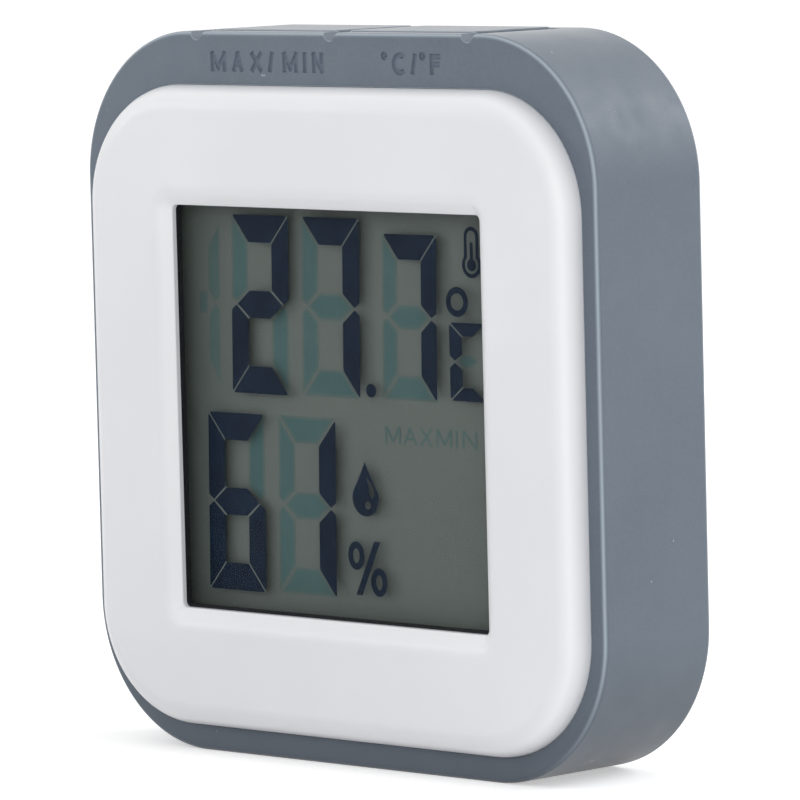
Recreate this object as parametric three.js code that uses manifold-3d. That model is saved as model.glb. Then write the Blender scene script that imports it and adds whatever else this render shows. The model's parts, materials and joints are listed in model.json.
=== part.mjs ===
// A desktop hygrometer: a white display case in a grey silicone sleeve, with two press pads on top,
// a twist-lock battery door and a fold-out stand at the back.
//
// Millimetres. The object is drawn as it is seen from the front: x to the right, y up from the surface it
// stands on, z towards the viewer, with z = 0 at the sleeve's front face. The last group turns the drawing
// upright, so that the finished object has +Z up and its front towards -Y.

import * as THREE from "three";
import { mergeVertices } from "three/addons/utils/BufferGeometryUtils.js";
import Module from "manifold-3d";

const wasm = await Module();
wasm.setup();

// Driving dimensions

// Display window, in the middle of the bezel, with a sloped band around it.
const WINDOW_WIDTH = 34.1;
const WINDOW_HEIGHT = 32.7;
const WINDOW_CORNER = 0.45;
const BAND_WIDTH = 1.3;
const BAND_DROP = 1.1;

// White case: a front bezel and a rear cover of one outline, joined at a seam under the sleeve.
const FACE_SIDE = 9.55; // bezel beside the window
const FACE_END = 9.65; // bezel above and below the window
const CASE_CORNER = 9.7;
const CASE_WALL = 1.5;
const BEZEL_PROUD = 2.2; // how far the bezel stands in front of the sleeve
const BEZEL_EDGE = 1.9; // rounding of the bezel's front edge
const FACE_WALL = 1.4; // thickness of the bezel's face
const SEAM_DEPTH = 5; // from the sleeve's front face back to the seam
const BACK_WALL = 1.6;
const PANEL_RECESS = 0.1; // how far the back panel lies inside the sleeve's rear edge
const PANEL_EDGE = 0.3; // chamfer around the back panel

// Silicone sleeve: margins are what shows of it around the bezel from the front.
const SIDE_MARGIN = 1.55;
const BOTTOM_MARGIN = 2.15;
const TOP_MARGIN = 4.3;
const SLEEVE_DEPTH = 12.4;
const SLEEVE_CORNER = 11.9;
const SLEEVE_FRONT_EDGE = 0.5;
const SLEEVE_BACK_EDGE = 0.6;
const SLEEVE_LIP_WIDTH = 1.3; // inward lip that holds the rear cover
const SLEEVE_LIP_THICKNESS = 1.2;

// Press pads in the sleeve's top, between three grooves.
const PAD_PITCH = 15;
const GROOVE_WIDTH = 1;
const GROOVE_DEPTH = 0.6;
const PAD_FRONT_WALL = 1.5; // sleeve left in front of a pad
const PAD_BACK_WALL = 1.9; // sleeve left behind a pad
const PAD_CROWN = 0.12; // how far a pad stands above the sleeve
const PAD_FLANGE = 0.85; // thickness of the flange that keeps a pad in
const PAD_LEDGE = 0.5; // overlap of that flange under the sleeve
const PAD_TRAVEL = 0.4;
const PAD_GAP = 0.15;
const NUB_RADIUS = 1;

// Liquid-crystal cell, from the front: gasket, polarizer, front glass, rear glass, reflector.
const GASKET_THICKNESS = 0.7;
const GASKET_WIDTH = 1.55;
const GLASS_BORDER = 1.65; // glass beyond the window at each side
const CONTACT_BORDER = 2.3; // front glass beyond the window above and below
const CONTACT_LEDGE = 2; // front glass left bare by the rear glass above and below
const FILM_THICKNESS = 0.2;
const GLASS_THICKNESS = 0.4;
const SHELF_HEIGHT = 3; // from the reflector back to the circuit board
const SHELF_REACH = 2; // shelf under the edge of the rear glass
const HOLDER_WALL = 1;
const STRIP_WIDTH = 1.6;
const STRIP_END = 1.5; // front glass left free at the ends of a zebra strip

// Circuit board and what is on it.
const BOARD_THICKNESS = 1;
const BOARD_CLEARANCE = 0.6; // from the board's edges to the inside of the case
const SWITCH_WIDTH = 6;
const SWITCH_HEIGHT = 3.4;
const SWITCH_DEPTH = 2.9;
const PLUNGER_RADIUS = 0.9;
const PLUNGER_HEIGHT = 1.1; // above the switch
const PLUNGER_SEAT = 0.6; // inside the switch
const BLOB_RADIUS = 4.2;
const BLOB_HEIGHT = 1.3;
const CRYSTAL_RADIUS = 0.95;
const CRYSTAL_LENGTH = 6;
const SENSOR_SIZE = 3;
const SENSOR_HEIGHT = 1;
const SENSOR_PORT_RADIUS = 0.75;
const SENSOR_PORT_DEPTH = 0.35;

// Screws.
const SCREW_INSET = 5.6; // case screws, from the sides of the case
const SCREW_RADIUS = 0.95;
const SCREW_HEAD_RADIUS = 1.7;
const SCREW_HEAD_HEIGHT = 1.3;
const SCREW_HEAD_EDGE = 0.4; // chamfer around a head
const CASE_SCREW_LENGTH = 9;
const BOARD_SCREW_LENGTH = 4;
const BOSS_WALL = 0.85; // plastic around a screw
const HEAD_RECESS = 0.6; // screw head below the back panel
const DRIVE_REACH = 1; // half the length of each arm of the cross
const DRIVE_WIDTH = 0.5;
const DRIVE_DEPTH = 0.6;

// Coin cell, its contacts and its twist-lock door.
const CELL_RADIUS = 10;
const CELL_THICKNESS = 3.2;
const CELL_STEP = 0.8; // the smaller pole is set in by this much all round
const CELL_MARGIN = 1.75; // from the lugs' groove up to the back panel's edge
const BAY_GAP = 0.25; // around the cell
const BAY_WALL = 1.2;
const BAY_FLOOR = 0.75;
const DOOR_RIM = 1.6; // door radius beyond the cell
const DOOR_THICKNESS = 1.5;
const DOOR_GAP = 0.15;
const SKIRT_INNER = 0.4; // skirt's inner radius beyond the cell
const LUG_REACH = 1.1; // lugs beyond the door's edge
const LUG_THICKNESS = 0.95;
const LUG_ANGLE = 24; // degrees
const LUG_COUNT = 3;
const FIRST_LUG = 120; // degrees, as seen from the front
const NOTCH_EXTRA = 4; // degrees, entry notch wider than a lug
const LOCK_ANGLE = 45; // degrees from the locked place to the entry notches
const COIN_SLOT_LENGTH = 12;
const COIN_SLOT_WIDTH = 1.7;
const COIN_SLOT_DEPTH = 0.7;
const CONTACT_WIDTH = 4;
const CONTACT_THICKNESS = 0.25;
const CONTACT_FOOT = 3;
const CONTACT_TIP = 0.9; // flat end that touches the cell

// Fold-out stand, hinged at its lower edge.
const STAND_WIDTH = 22;
const STAND_MARGIN = 2.5; // from the stand's recess up to the lugs' groove
const STAND_THICKNESS = 1.5;
const STAND_CORNER = 1.5;
const STAND_GAP = 0.25;
const BARREL_RADIUS = 1.1;
const PIN_RADIUS = 0.5;
const PIN_RUNNING_GAP = 0.08;
const PIN_PRESS_GAP = 0.03;
const PIN_SEAT = 1; // pin length held in each wall of the recess
const HINGE_RISE = 2.5; // hinge axis above the back panel's lower edge
const POCKET_WALL = 1.2;
const FINGER_RADIUS = 2.8;
const FINGER_DEPTH = 1;

// Air vents in the back panel, in two columns beside the stand.
const VENT_COUNT = 5;
const VENT_LENGTH = 6;
const VENT_WIDTH = 1.2;
const VENT_PITCH = 2.6;
const VENT_INSET = 6.35; // from the side of the case

// Clearances.
const FIT = 0.1; // sleeve around the case, and loose seats
const SEAT = 0.05; // faces that bear on each other
const BOND = 0.02; // glued, soldered or laminated faces
const RUN = 0.25; // moving pieces past fixed ones

// Fineness of round shapes.
const CORNER_STEPS = 5; // two facets each, in a quarter turn
const EDGE_STEPS = 4;
const SLOT_STEPS = 2; // two facets each, in a quarter turn of a slot's end
const ROUND_FACETS = 40;
const SMALL_FACETS = 16;
const LEAST_CORNER = 0.5;
const LEAST_EDGE = 0.02; // straight left at the end of a slot
const WELD = 1e-4; // points this close are one point

// Places worked out from the dimensions

const CASE_WIDTH = WINDOW_WIDTH + 2 * FACE_SIDE;
const CASE_HEIGHT = WINDOW_HEIGHT + 2 * FACE_END;
const SLEEVE_WIDTH = CASE_WIDTH + 2 * SIDE_MARGIN;
const SLEEVE_HEIGHT = BOTTOM_MARGIN + CASE_HEIGHT + TOP_MARGIN;
const BACK = -SLEEVE_DEPTH;
const CASE_BOTTOM = BOTTOM_MARGIN;
const CASE_TOP = CASE_BOTTOM + CASE_HEIGHT;
const CASE_MIDDLE = (CASE_BOTTOM + CASE_TOP) / 2;
const CASE_SIDE = CASE_WIDTH / 2;

const FACE_REAR = BEZEL_PROUD - FACE_WALL;
const SEAM = -SEAM_DEPTH;
const PANEL_REAR = BACK + PANEL_RECESS;
const PANEL_FRONT = PANEL_REAR + BACK_WALL;
const PANEL_INSET = SLEEVE_LIP_WIDTH + FIT;
const SHOULDER = BACK + SLEEVE_LIP_THICKNESS + SEAT;

const GASKET_FRONT = FACE_REAR - BOND;
const POLARIZER_FRONT = GASKET_FRONT - GASKET_THICKNESS - BOND;
const FRONT_GLASS = POLARIZER_FRONT - FILM_THICKNESS - BOND;
const REAR_GLASS = FRONT_GLASS - GLASS_THICKNESS - BOND;
const REFLECTOR = REAR_GLASS - GLASS_THICKNESS - BOND;
const SHELF = REFLECTOR - FILM_THICKNESS - BOND;
const BOARD_FRONT = SHELF - SHELF_HEIGHT - BOND;
const BOARD_BACK = BOARD_FRONT - BOARD_THICKNESS;
const GLASS_WIDTH = WINDOW_WIDTH + 2 * GLASS_BORDER;
const FRONT_GLASS_HEIGHT = WINDOW_HEIGHT + 2 * CONTACT_BORDER;
const REAR_GLASS_HEIGHT = FRONT_GLASS_HEIGHT - 2 * CONTACT_LEDGE;
const STRIP_RISE = REAR_GLASS_HEIGHT / 2 + CONTACT_LEDGE / 2;
const HOLDER_SIDE = GLASS_WIDTH / 2 + FIT + HOLDER_WALL;

const BOSS_RADIUS = SCREW_RADIUS + BOSS_WALL;
const CASE_SCREW_X = CASE_SIDE - SCREW_INSET;
const CASE_SCREW_LOW = CASE_BOTTOM + SCREW_INSET;
const CASE_SCREW_HIGH = CASE_TOP - SCREW_INSET;
const CASE_SCREW_SEAT = PANEL_REAR + HEAD_RECESS + SCREW_HEAD_HEIGHT;
const POST_RADIUS = SCREW_HEAD_RADIUS + FIT + BOSS_WALL;
const BOARD_SCREW_X = (HOLDER_SIDE + CASE_SIDE - CASE_WALL) / 2;

const DOOR_OUTER = PANEL_REAR + BOND;
const DOOR_INNER = DOOR_OUTER + DOOR_THICKNESS;
const DOOR_RADIUS = CELL_RADIUS + DOOR_RIM;
const CELL_REAR = DOOR_INNER + RUN;
const CELL_FRONT = CELL_REAR + CELL_THICKNESS;
const BAY_FLOOR_REAR = CELL_FRONT + FIT;
const BAY_FLOOR_FRONT = BAY_FLOOR_REAR + BAY_FLOOR;
const BAY_RADIUS = CELL_RADIUS + BAY_GAP;
const LUG_REAR = PANEL_FRONT + DOOR_GAP;
const LUG_FRONT = LUG_REAR + LUG_THICKNESS;
const LUG_RADIUS = DOOR_RADIUS + LUG_REACH;
const GROOVE_RADIUS = LUG_RADIUS + DOOR_GAP;
const GROOVE_FRONT = LUG_FRONT + DOOR_GAP;
const CELL_Y = CASE_TOP - PANEL_INSET - CELL_MARGIN - GROOVE_RADIUS;

const HINGE_Y = CASE_BOTTOM + PANEL_INSET + HINGE_RISE;
const HINGE_Z = PANEL_REAR + BOND + BARREL_RADIUS;
const RECESS_FLOOR = HINGE_Z + BARREL_RADIUS + STAND_GAP;
const RECESS_SIDE = STAND_WIDTH / 2 + STAND_GAP;
const RECESS_BOTTOM = HINGE_Y - BARREL_RADIUS - STAND_GAP;
const RECESS_TOP = CELL_Y - GROOVE_RADIUS - STAND_MARGIN;
const STAND_LENGTH = RECESS_TOP - STAND_GAP - HINGE_Y;
const VENT_X = CASE_SIDE - VENT_INSET - VENT_LENGTH / 2;
const LOWEST_VENT = CASE_SCREW_LOW + POST_RADIUS + VENT_WIDTH;

const SWITCH_Z = BOARD_BACK - BOND - SWITCH_DEPTH / 2;
const SWITCH_TOP = CASE_TOP - CASE_WALL - RUN;
const PLUNGER_BOTTOM = SWITCH_TOP - PLUNGER_SEAT;
const PLUNGER_TOP = SWITCH_TOP + PLUNGER_HEIGHT;
const PAD_FLANGE_BOTTOM = CASE_TOP + FIT + PAD_TRAVEL + RUN;
const PAD_FLANGE_TOP = PAD_FLANGE_BOTTOM + PAD_FLANGE;
const PAD_WINDOW_WIDTH = PAD_PITCH - GROOVE_WIDTH;
const PAD_WINDOW_FRONT = -PAD_FRONT_WALL;
const PAD_WINDOW_BACK = BACK + PAD_BACK_WALL;

// Materials

function finish(color, roughness, metalness = 0) {
  return new THREE.MeshStandardMaterial({ color, roughness, metalness });
}

const SILICONE = finish(0x77828d, 0.62);
const WHITE_PLASTIC = finish(0xe7e8eb, 0.42);
const BLACK_FOAM = finish(0x15161a, 0.95);
const BLACK_PLASTIC = finish(0x1d1e22, 0.6);
const POLARIZER_FILM = finish(0x5d665e, 0.35);
const GLASS = finish(0x9fb0a8, 0.08);
const REFLECTOR_FILM = finish(0x7f877c, 0.5);
const ZEBRA_RUBBER = finish(0xc9c4d6, 0.7);
const BOARD_GREEN = finish(0x1f5a3a, 0.5);
const EPOXY = finish(0x101012, 0.3);
const SWITCH_BLACK = finish(0x26262a, 0.55);
const STEEL = finish(0xb9bcc0, 0.32, 1);
const SENSOR_CASE = finish(0xd9d9d4, 0.45);

// Solids: geometry to and from the boolean library

function solidOf(geometry) {
  const bare = geometry.clone();
  bare.deleteAttribute("normal");
  bare.deleteAttribute("uv");
  const merged = mergeVertices(bare, WELD);
  return new wasm.Manifold(
    new wasm.Mesh({
      numProp: 3,
      vertProperties: new Float32Array(merged.attributes.position.array),
      triVerts: new Uint32Array(merged.index.array),
    }),
  );
}

function geometryOf(solid) {
  const mesh = solid.getMesh();
  const geometry = new THREE.BufferGeometry();
  geometry.setAttribute("position", new THREE.BufferAttribute(mesh.vertProperties, 3));
  geometry.setIndex(new THREE.BufferAttribute(mesh.triVerts, 1));
  return geometry;
}

function joined(...geometries) {
  return geometryOf(geometries.map(solidOf).reduce((a, b) => a.add(b)));
}

function cut(geometry, ...cutters) {
  return geometryOf(cutters.map(solidOf).reduce((a, b) => a.subtract(b), solidOf(geometry)));
}

// Shapes in the drawing plane

function roundedRectangle(width, height, corner, x = 0, y = CASE_MIDDLE) {
  const radius = Math.min(corner, (width - LEAST_EDGE) / 2, (height - LEAST_EDGE) / 2);
  const right = x + width / 2 - radius;
  const top = y + height / 2 - radius;
  const left = x - width / 2 + radius;
  const bottom = y - height / 2 + radius;
  const quarter = Math.PI / 2;
  const shape = new THREE.Shape();
  shape.absarc(right, top, radius, 0, quarter);
  shape.absarc(left, top, radius, quarter, 2 * quarter);
  shape.absarc(left, bottom, radius, 2 * quarter, 3 * quarter);
  shape.absarc(right, bottom, radius, 3 * quarter, 4 * quarter);
  return shape;
}

function caseOutline(inset) {
  const corner = Math.max(CASE_CORNER - inset, LEAST_CORNER);
  return roundedRectangle(CASE_WIDTH - 2 * inset, CASE_HEIGHT - 2 * inset, corner);
}

function sleeveOutline(inset) {
  const corner = Math.max(SLEEVE_CORNER - inset, LEAST_CORNER);
  return roundedRectangle(SLEEVE_WIDTH - 2 * inset, SLEEVE_HEIGHT - 2 * inset, corner, 0, SLEEVE_HEIGHT / 2);
}

function rectangle(x0, x1, y0, y1) {
  return new THREE.Shape([
    new THREE.Vector2(x0, y0),
    new THREE.Vector2(x1, y0),
    new THREE.Vector2(x1, y1),
    new THREE.Vector2(x0, y1),
  ]);
}

function sector(inner, outer, from, to, steps = 6) {
  const points = [];
  for (let i = 0; i <= steps; i++) {
    const angle = THREE.MathUtils.degToRad(from + ((to - from) * i) / steps);
    points.push(new THREE.Vector2(outer * Math.cos(angle), outer * Math.sin(angle)));
  }
  for (let i = steps; i >= 0; i--) {
    const angle = THREE.MathUtils.degToRad(from + ((to - from) * i) / steps);
    points.push(new THREE.Vector2(inner * Math.cos(angle), inner * Math.sin(angle)));
  }
  return new THREE.Shape(points);
}

// Solids from shapes: every one runs from a rear to a front place along z

function prism(shape, rear, front, curveSegments = CORNER_STEPS) {
  const options = { depth: front - rear, bevelEnabled: false, curveSegments };
  return new THREE.ExtrudeGeometry(shape, options).translate(0, 0, rear);
}

function block(x0, x1, y0, y1, rear, front) {
  return prism(rectangle(x0, x1, y0, y1), rear, front);
}

function disc(radius, x, y, rear, front, facets = ROUND_FACETS) {
  return new THREE.CylinderGeometry(radius, radius, front - rear, facets)
    .rotateX(Math.PI / 2)
    .translate(x, y, (rear + front) / 2);
}

// A body of stacked outlines, each [outline, z], from the rear to the front.
function loft(stations) {
  const rings = stations.map(([shape, z]) => shape.getPoints(CORNER_STEPS).map((p) => [p.x, p.y, z]));
  const count = rings[0].length;
  const points = rings.flat();
  const faces = [];
  for (let ring = 0; ring + 1 < rings.length; ring++) {
    for (let i = 0; i < count; i++) {
      const a = ring * count + i;
      const b = ring * count + ((i + 1) % count);
      faces.push(a, b, b + count, a, b + count, a + count);
    }
  }
  const last = (rings.length - 1) * count;
  for (let i = 1; i + 1 < count; i++) {
    faces.push(0, i + 1, i);
    faces.push(last, last + i, last + i + 1);
  }
  const geometry = new THREE.BufferGeometry();
  geometry.setAttribute("position", new THREE.Float32BufferAttribute(points.flat(), 3));
  geometry.setIndex(faces);
  return geometry;
}

// Stations of a quarter-round edge of the given radius that ends at z, on the rear or the front side.
function roundedEdge(outline, radius, z, towards) {
  const stations = [];
  for (let i = 0; i <= EDGE_STEPS; i++) {
    const angle = ((i / EDGE_STEPS) * Math.PI) / 2;
    stations.push([outline(radius * (1 - Math.cos(angle))), z - towards * radius * (1 - Math.sin(angle))]);
  }
  return towards > 0 ? stations : stations.reverse();
}

// A strip of sheet metal bent along a line of [u, v] points, as wide as it is extruded.
function bentStrip(line, thickness, width) {
  const normals = line.slice(1).map(([u, v], i) => {
    const along = new THREE.Vector2(u - line[i][0], v - line[i][1]).normalize();
    return new THREE.Vector2(-along.y, along.x);
  });
  const side = (sign) =>
    line.map(([u, v], i) => {
      const before = normals[Math.max(i - 1, 0)];
      const after = normals[Math.min(i, normals.length - 1)];
      const miter = before.clone().add(after).normalize();
      const reach = (sign * thickness) / 2 / miter.dot(after);
      return new THREE.Vector2(u + miter.x * reach, v + miter.y * reach);
    });
  const shape = new THREE.Shape([...side(-1), ...side(1).reverse()]);
  return new THREE.ExtrudeGeometry(shape, { depth: width, bevelEnabled: false }).translate(0, 0, -width / 2);
}

// Sleeve and press pads

// One pad is as wide as its window less a gap, and its lower flange catches under the sleeve.
function padBlock(side, gap, flangeBottom, flangeTop, top) {
  const middle = (side * PAD_PITCH) / 2;
  const half = PAD_WINDOW_WIDTH / 2 - gap;
  const back = PAD_WINDOW_BACK + gap;
  const front = PAD_WINDOW_FRONT - gap;
  return joined(
    block(middle - half, middle + half, flangeBottom, top, back, front),
    block(middle - half, middle + half, flangeBottom, flangeTop, back - PAD_LEDGE, front + PAD_LEDGE),
  );
}

function siliconeSleeve() {
  const body = loft([
    ...roundedEdge(sleeveOutline, SLEEVE_BACK_EDGE, BACK, -1),
    ...roundedEdge(sleeveOutline, SLEEVE_FRONT_EDGE, 0, 1),
  ]);
  const bore = prism(caseOutline(-FIT), BACK + SLEEVE_LIP_THICKNESS, FIT);
  const rearOpening = prism(caseOutline(SLEEVE_LIP_WIDTH), BACK - FIT, BACK + SLEEVE_LIP_THICKNESS + FIT);
  const windows = [-1, 1].map((side) =>
    padBlock(side, 0, CASE_MIDDLE, PAD_FLANGE_TOP + SEAT, SLEEVE_HEIGHT + FIT),
  );
  const grooves = [-1, 0, 1].map((place) => {
    const left = place * PAD_PITCH - GROOVE_WIDTH / 2;
    const floor = SLEEVE_HEIGHT - GROOVE_DEPTH;
    return block(left, left + GROOVE_WIDTH, floor, SLEEVE_HEIGHT + FIT, PAD_WINDOW_BACK, FIT);
  });
  return cut(body, bore, rearOpening, ...windows, ...grooves);
}

function pressPad(side) {
  const pad = padBlock(side, PAD_GAP, PAD_FLANGE_BOTTOM, PAD_FLANGE_TOP, SLEEVE_HEIGHT + PAD_CROWN);
  const nubBottom = PLUNGER_TOP + SEAT;
  const nubHeight = PAD_FLANGE_BOTTOM + FIT - nubBottom;
  const nub = new THREE.CylinderGeometry(NUB_RADIUS, NUB_RADIUS, nubHeight, SMALL_FACETS);
  nub.translate((side * PAD_PITCH) / 2, nubBottom + nubHeight / 2, SWITCH_Z);
  return joined(pad, nub);
}

// Case

// Case screws stand at the four corners of the case.
const CASE_SCREW_PLACES = [
  ["lower_left", -CASE_SCREW_X, CASE_SCREW_LOW],
  ["lower_right", CASE_SCREW_X, CASE_SCREW_LOW],
  ["upper_left", -CASE_SCREW_X, CASE_SCREW_HIGH],
  ["upper_right", CASE_SCREW_X, CASE_SCREW_HIGH],
];

const BOARD_SCREW_PLACES = [
  ["left", -BOARD_SCREW_X, CASE_MIDDLE],
  ["right", BOARD_SCREW_X, CASE_MIDDLE],
];

function windowOutline(grow) {
  return roundedRectangle(WINDOW_WIDTH + 2 * grow, WINDOW_HEIGHT + 2 * grow, WINDOW_CORNER + grow);
}

function frontBezel() {
  const body = loft([[caseOutline(0), SEAM], ...roundedEdge(caseOutline, BEZEL_EDGE, BEZEL_PROUD, 1)]);
  const hollow = prism(caseOutline(CASE_WALL), SEAM - FIT, FACE_REAR);
  const opening = prism(windowOutline(0), FACE_REAR - FIT, BEZEL_PROUD + FIT);
  const slope = BAND_WIDTH / BAND_DROP;
  const band = loft([
    [windowOutline(0), BEZEL_PROUD - BAND_DROP],
    [windowOutline(BAND_WIDTH + slope * FIT), BEZEL_PROUD + FIT],
  ]);
  const shell = cut(body, hollow, opening, band);
  const caseBosses = CASE_SCREW_PLACES.map(([, x, y]) =>
    disc(BOSS_RADIUS, x, y, SEAM, FACE_REAR + FIT, SMALL_FACETS),
  );
  const boardBosses = BOARD_SCREW_PLACES.map(([, x, y]) =>
    disc(BOSS_RADIUS, x, y, BOARD_FRONT + BOND, FACE_REAR + FIT, SMALL_FACETS),
  );
  const caseHoles = CASE_SCREW_PLACES.map(([, x, y]) =>
    disc(SCREW_RADIUS + SEAT, x, y, SEAM - FIT, CASE_SCREW_SEAT + CASE_SCREW_LENGTH + FIT, SMALL_FACETS),
  );
  const boardHoles = BOARD_SCREW_PLACES.map(([, x, y]) =>
    disc(SCREW_RADIUS + SEAT, x, y, BOARD_FRONT - FIT, BOARD_BACK + BOARD_SCREW_LENGTH + FIT, SMALL_FACETS),
  );
  return cut(joined(shell, ...caseBosses, ...boardBosses), ...caseHoles, ...boardHoles);
}

function ventSlots() {
  const slots = [];
  for (const side of [-1, 1]) {
    for (let i = 0; i < VENT_COUNT; i++) {
      const y = LOWEST_VENT + i * VENT_PITCH;
      const outline = roundedRectangle(VENT_LENGTH, VENT_WIDTH, VENT_WIDTH / 2, side * VENT_X, y);
      slots.push(prism(outline, PANEL_REAR - FIT, PANEL_FRONT + FIT, SLOT_STEPS));
    }
  }
  return slots;
}

// What the rear cover grows inside: screw posts, the cell's bay and the stand's pocket.
function coverBosses() {
  const posts = CASE_SCREW_PLACES.map(([, x, y]) =>
    disc(POST_RADIUS, x, y, PANEL_FRONT - FIT, SEAM - SEAT, SMALL_FACETS),
  );
  const bay = disc(BAY_RADIUS + BAY_WALL, 0, CELL_Y, PANEL_FRONT - FIT, BAY_FLOOR_FRONT);
  const collar = disc(GROOVE_RADIUS + BAY_WALL, 0, CELL_Y, PANEL_FRONT - FIT, GROOVE_FRONT + BAY_WALL);
  const pocketSide = RECESS_SIDE + PIN_SEAT + POCKET_WALL;
  const pocket = block(
    -pocketSide,
    pocketSide,
    RECESS_BOTTOM - POCKET_WALL,
    RECESS_TOP + POCKET_WALL,
    PANEL_FRONT - FIT,
    RECESS_FLOOR + POCKET_WALL,
  );
  return [...posts, bay, collar, pocket];
}

function coverScrewHoles() {
  return CASE_SCREW_PLACES.flatMap(([, x, y]) => [
    disc(SCREW_HEAD_RADIUS + FIT, x, y, PANEL_REAR - FIT, CASE_SCREW_SEAT - SEAT, SMALL_FACETS),
    disc(SCREW_RADIUS + FIT, x, y, CASE_SCREW_SEAT - RUN, SEAM + FIT, SMALL_FACETS),
  ]);
}

// The cell's bay, the door's seat with its lug groove and entry notches, and the contact slots.
function cellBay() {
  const bay = disc(BAY_RADIUS, 0, CELL_Y, GROOVE_FRONT - FIT, BAY_FLOOR_REAR);
  const groove = disc(GROOVE_RADIUS, 0, CELL_Y, PANEL_FRONT, GROOVE_FRONT);
  const doorHole = disc(DOOR_RADIUS + DOOR_GAP, 0, CELL_Y, PANEL_REAR - FIT, PANEL_FRONT + FIT);
  const notches = [];
  for (let i = 0; i < LUG_COUNT; i++) {
    const middle = FIRST_LUG - LOCK_ANGLE + (i * 360) / LUG_COUNT;
    const half = (LUG_ANGLE + NOTCH_EXTRA) / 2;
    const notch = sector(CELL_RADIUS, GROOVE_RADIUS, middle - half, middle + half);
    notches.push(prism(notch, PANEL_REAR - FIT, PANEL_FRONT + FIT).translate(0, CELL_Y, 0));
  }
  const slotHalf = CONTACT_WIDTH / 2 + RUN;
  const floorSlot = block(
    -slotHalf,
    slotHalf,
    CELL_Y - CONTACT_FOOT - RUN,
    CELL_Y + CONTACT_FOOT + RUN,
    BAY_FLOOR_REAR - FIT,
    BAY_FLOOR_FRONT + FIT,
  );
  const sideSlot = block(
    CELL_RADIUS - RUN,
    BAY_RADIUS + BAY_WALL + FIT,
    CELL_Y - slotHalf,
    CELL_Y + slotHalf,
    GROOVE_FRONT + RUN,
    BAY_FLOOR_FRONT + FIT,
  );
  return [bay, groove, doorHole, ...notches, floorSlot, sideSlot];
}

function standRecess() {
  const recess = block(-RECESS_SIDE, RECESS_SIDE, RECESS_BOTTOM, RECESS_TOP, PANEL_REAR - FIT, RECESS_FLOOR);
  const scoopFloor = PANEL_REAR + FINGER_DEPTH;
  const scoop = disc(FINGER_RADIUS, 0, RECESS_TOP, PANEL_REAR - FIT, scoopFloor, SMALL_FACETS);
  const pinReach = 2 * (RECESS_SIDE + PIN_SEAT + BOND);
  const pinHole = new THREE.CylinderGeometry(
    PIN_RADIUS + PIN_PRESS_GAP,
    PIN_RADIUS + PIN_PRESS_GAP,
    pinReach,
    SMALL_FACETS,
  );
  pinHole.rotateZ(Math.PI / 2).translate(0, HINGE_Y, HINGE_Z);
  return [recess, scoop, pinHole];
}

// Room that the cell's bay leaves around the two switches.
function switchRooms() {
  return [-1, 1].map((side) => {
    const middle = (side * PAD_PITCH) / 2;
    const half = SWITCH_WIDTH / 2 + RUN;
    const rear = BOARD_BACK - SWITCH_DEPTH - RUN;
    const bottom = SWITCH_TOP - SWITCH_HEIGHT - RUN;
    return block(middle - half, middle + half, bottom, SWITCH_TOP + RUN, rear, BOARD_BACK);
  });
}

// Holes in the top wall through which the pads' nubs reach the switches.
function nubHoles() {
  return [-1, 1].map((side) => {
    const radius = NUB_RADIUS + RUN;
    const height = CASE_WALL + 2 * FIT;
    const hole = new THREE.CylinderGeometry(radius, radius, height, SMALL_FACETS);
    return hole.translate((side * PAD_PITCH) / 2, CASE_TOP - CASE_WALL / 2, SWITCH_Z);
  });
}

function rearCover() {
  const body = loft([
    [caseOutline(PANEL_INSET + PANEL_EDGE), PANEL_REAR],
    [caseOutline(PANEL_INSET), PANEL_REAR + PANEL_EDGE],
    [caseOutline(PANEL_INSET), SHOULDER],
    [caseOutline(0), SHOULDER],
    [caseOutline(0), SEAM - SEAT],
  ]);
  const hollow = prism(caseOutline(CASE_WALL), PANEL_FRONT, SEAM + FIT);
  const inside = prism(caseOutline(CASE_WALL / 2), PANEL_FRONT - FIT, SEAM - SEAT);
  const bosses = solidOf(joined(...coverBosses())).intersect(solidOf(inside));
  const shell = joined(cut(body, hollow), geometryOf(bosses));
  const rooms = [...switchRooms(), ...nubHoles()];
  return cut(shell, ...coverScrewHoles(), ...cellBay(), ...standRecess(), ...rooms, ...ventSlots());
}

// Display

function plate(width, height, rear, front) {
  const x = width / 2;
  return block(-x, x, CASE_MIDDLE - height / 2, CASE_MIDDLE + height / 2, rear, front);
}

function dustGasket() {
  const reach = 2 * (GASKET_WIDTH + FIT);
  const rear = GASKET_FRONT - GASKET_THICKNESS;
  const frame = plate(WINDOW_WIDTH + reach, WINDOW_HEIGHT + reach, rear, GASKET_FRONT);
  const opening = plate(WINDOW_WIDTH + 2 * FIT, WINDOW_HEIGHT + 2 * FIT, rear - FIT, GASKET_FRONT + FIT);
  return cut(frame, opening);
}

function frontPolarizer() {
  const reach = 2 * (GASKET_WIDTH + FIT);
  const rear = POLARIZER_FRONT - FILM_THICKNESS;
  return plate(WINDOW_WIDTH + reach, WINDOW_HEIGHT + reach, rear, POLARIZER_FRONT);
}

function frontGlass() {
  return plate(GLASS_WIDTH, FRONT_GLASS_HEIGHT, FRONT_GLASS - GLASS_THICKNESS, FRONT_GLASS);
}

function rearGlass() {
  return plate(GLASS_WIDTH, REAR_GLASS_HEIGHT, REAR_GLASS - GLASS_THICKNESS, REAR_GLASS);
}

function reflectorFilm() {
  return plate(GLASS_WIDTH, REAR_GLASS_HEIGHT, REFLECTOR - FILM_THICKNESS, REFLECTOR);
}

function zebraStrip(side) {
  const middle = CASE_MIDDLE + side * STRIP_RISE;
  const half = GLASS_WIDTH / 2 - STRIP_END;
  const front = FRONT_GLASS - GLASS_THICKNESS - BOND;
  return block(-half, half, middle - STRIP_WIDTH / 2, middle + STRIP_WIDTH / 2, BOARD_FRONT + BOND, front);
}

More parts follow.
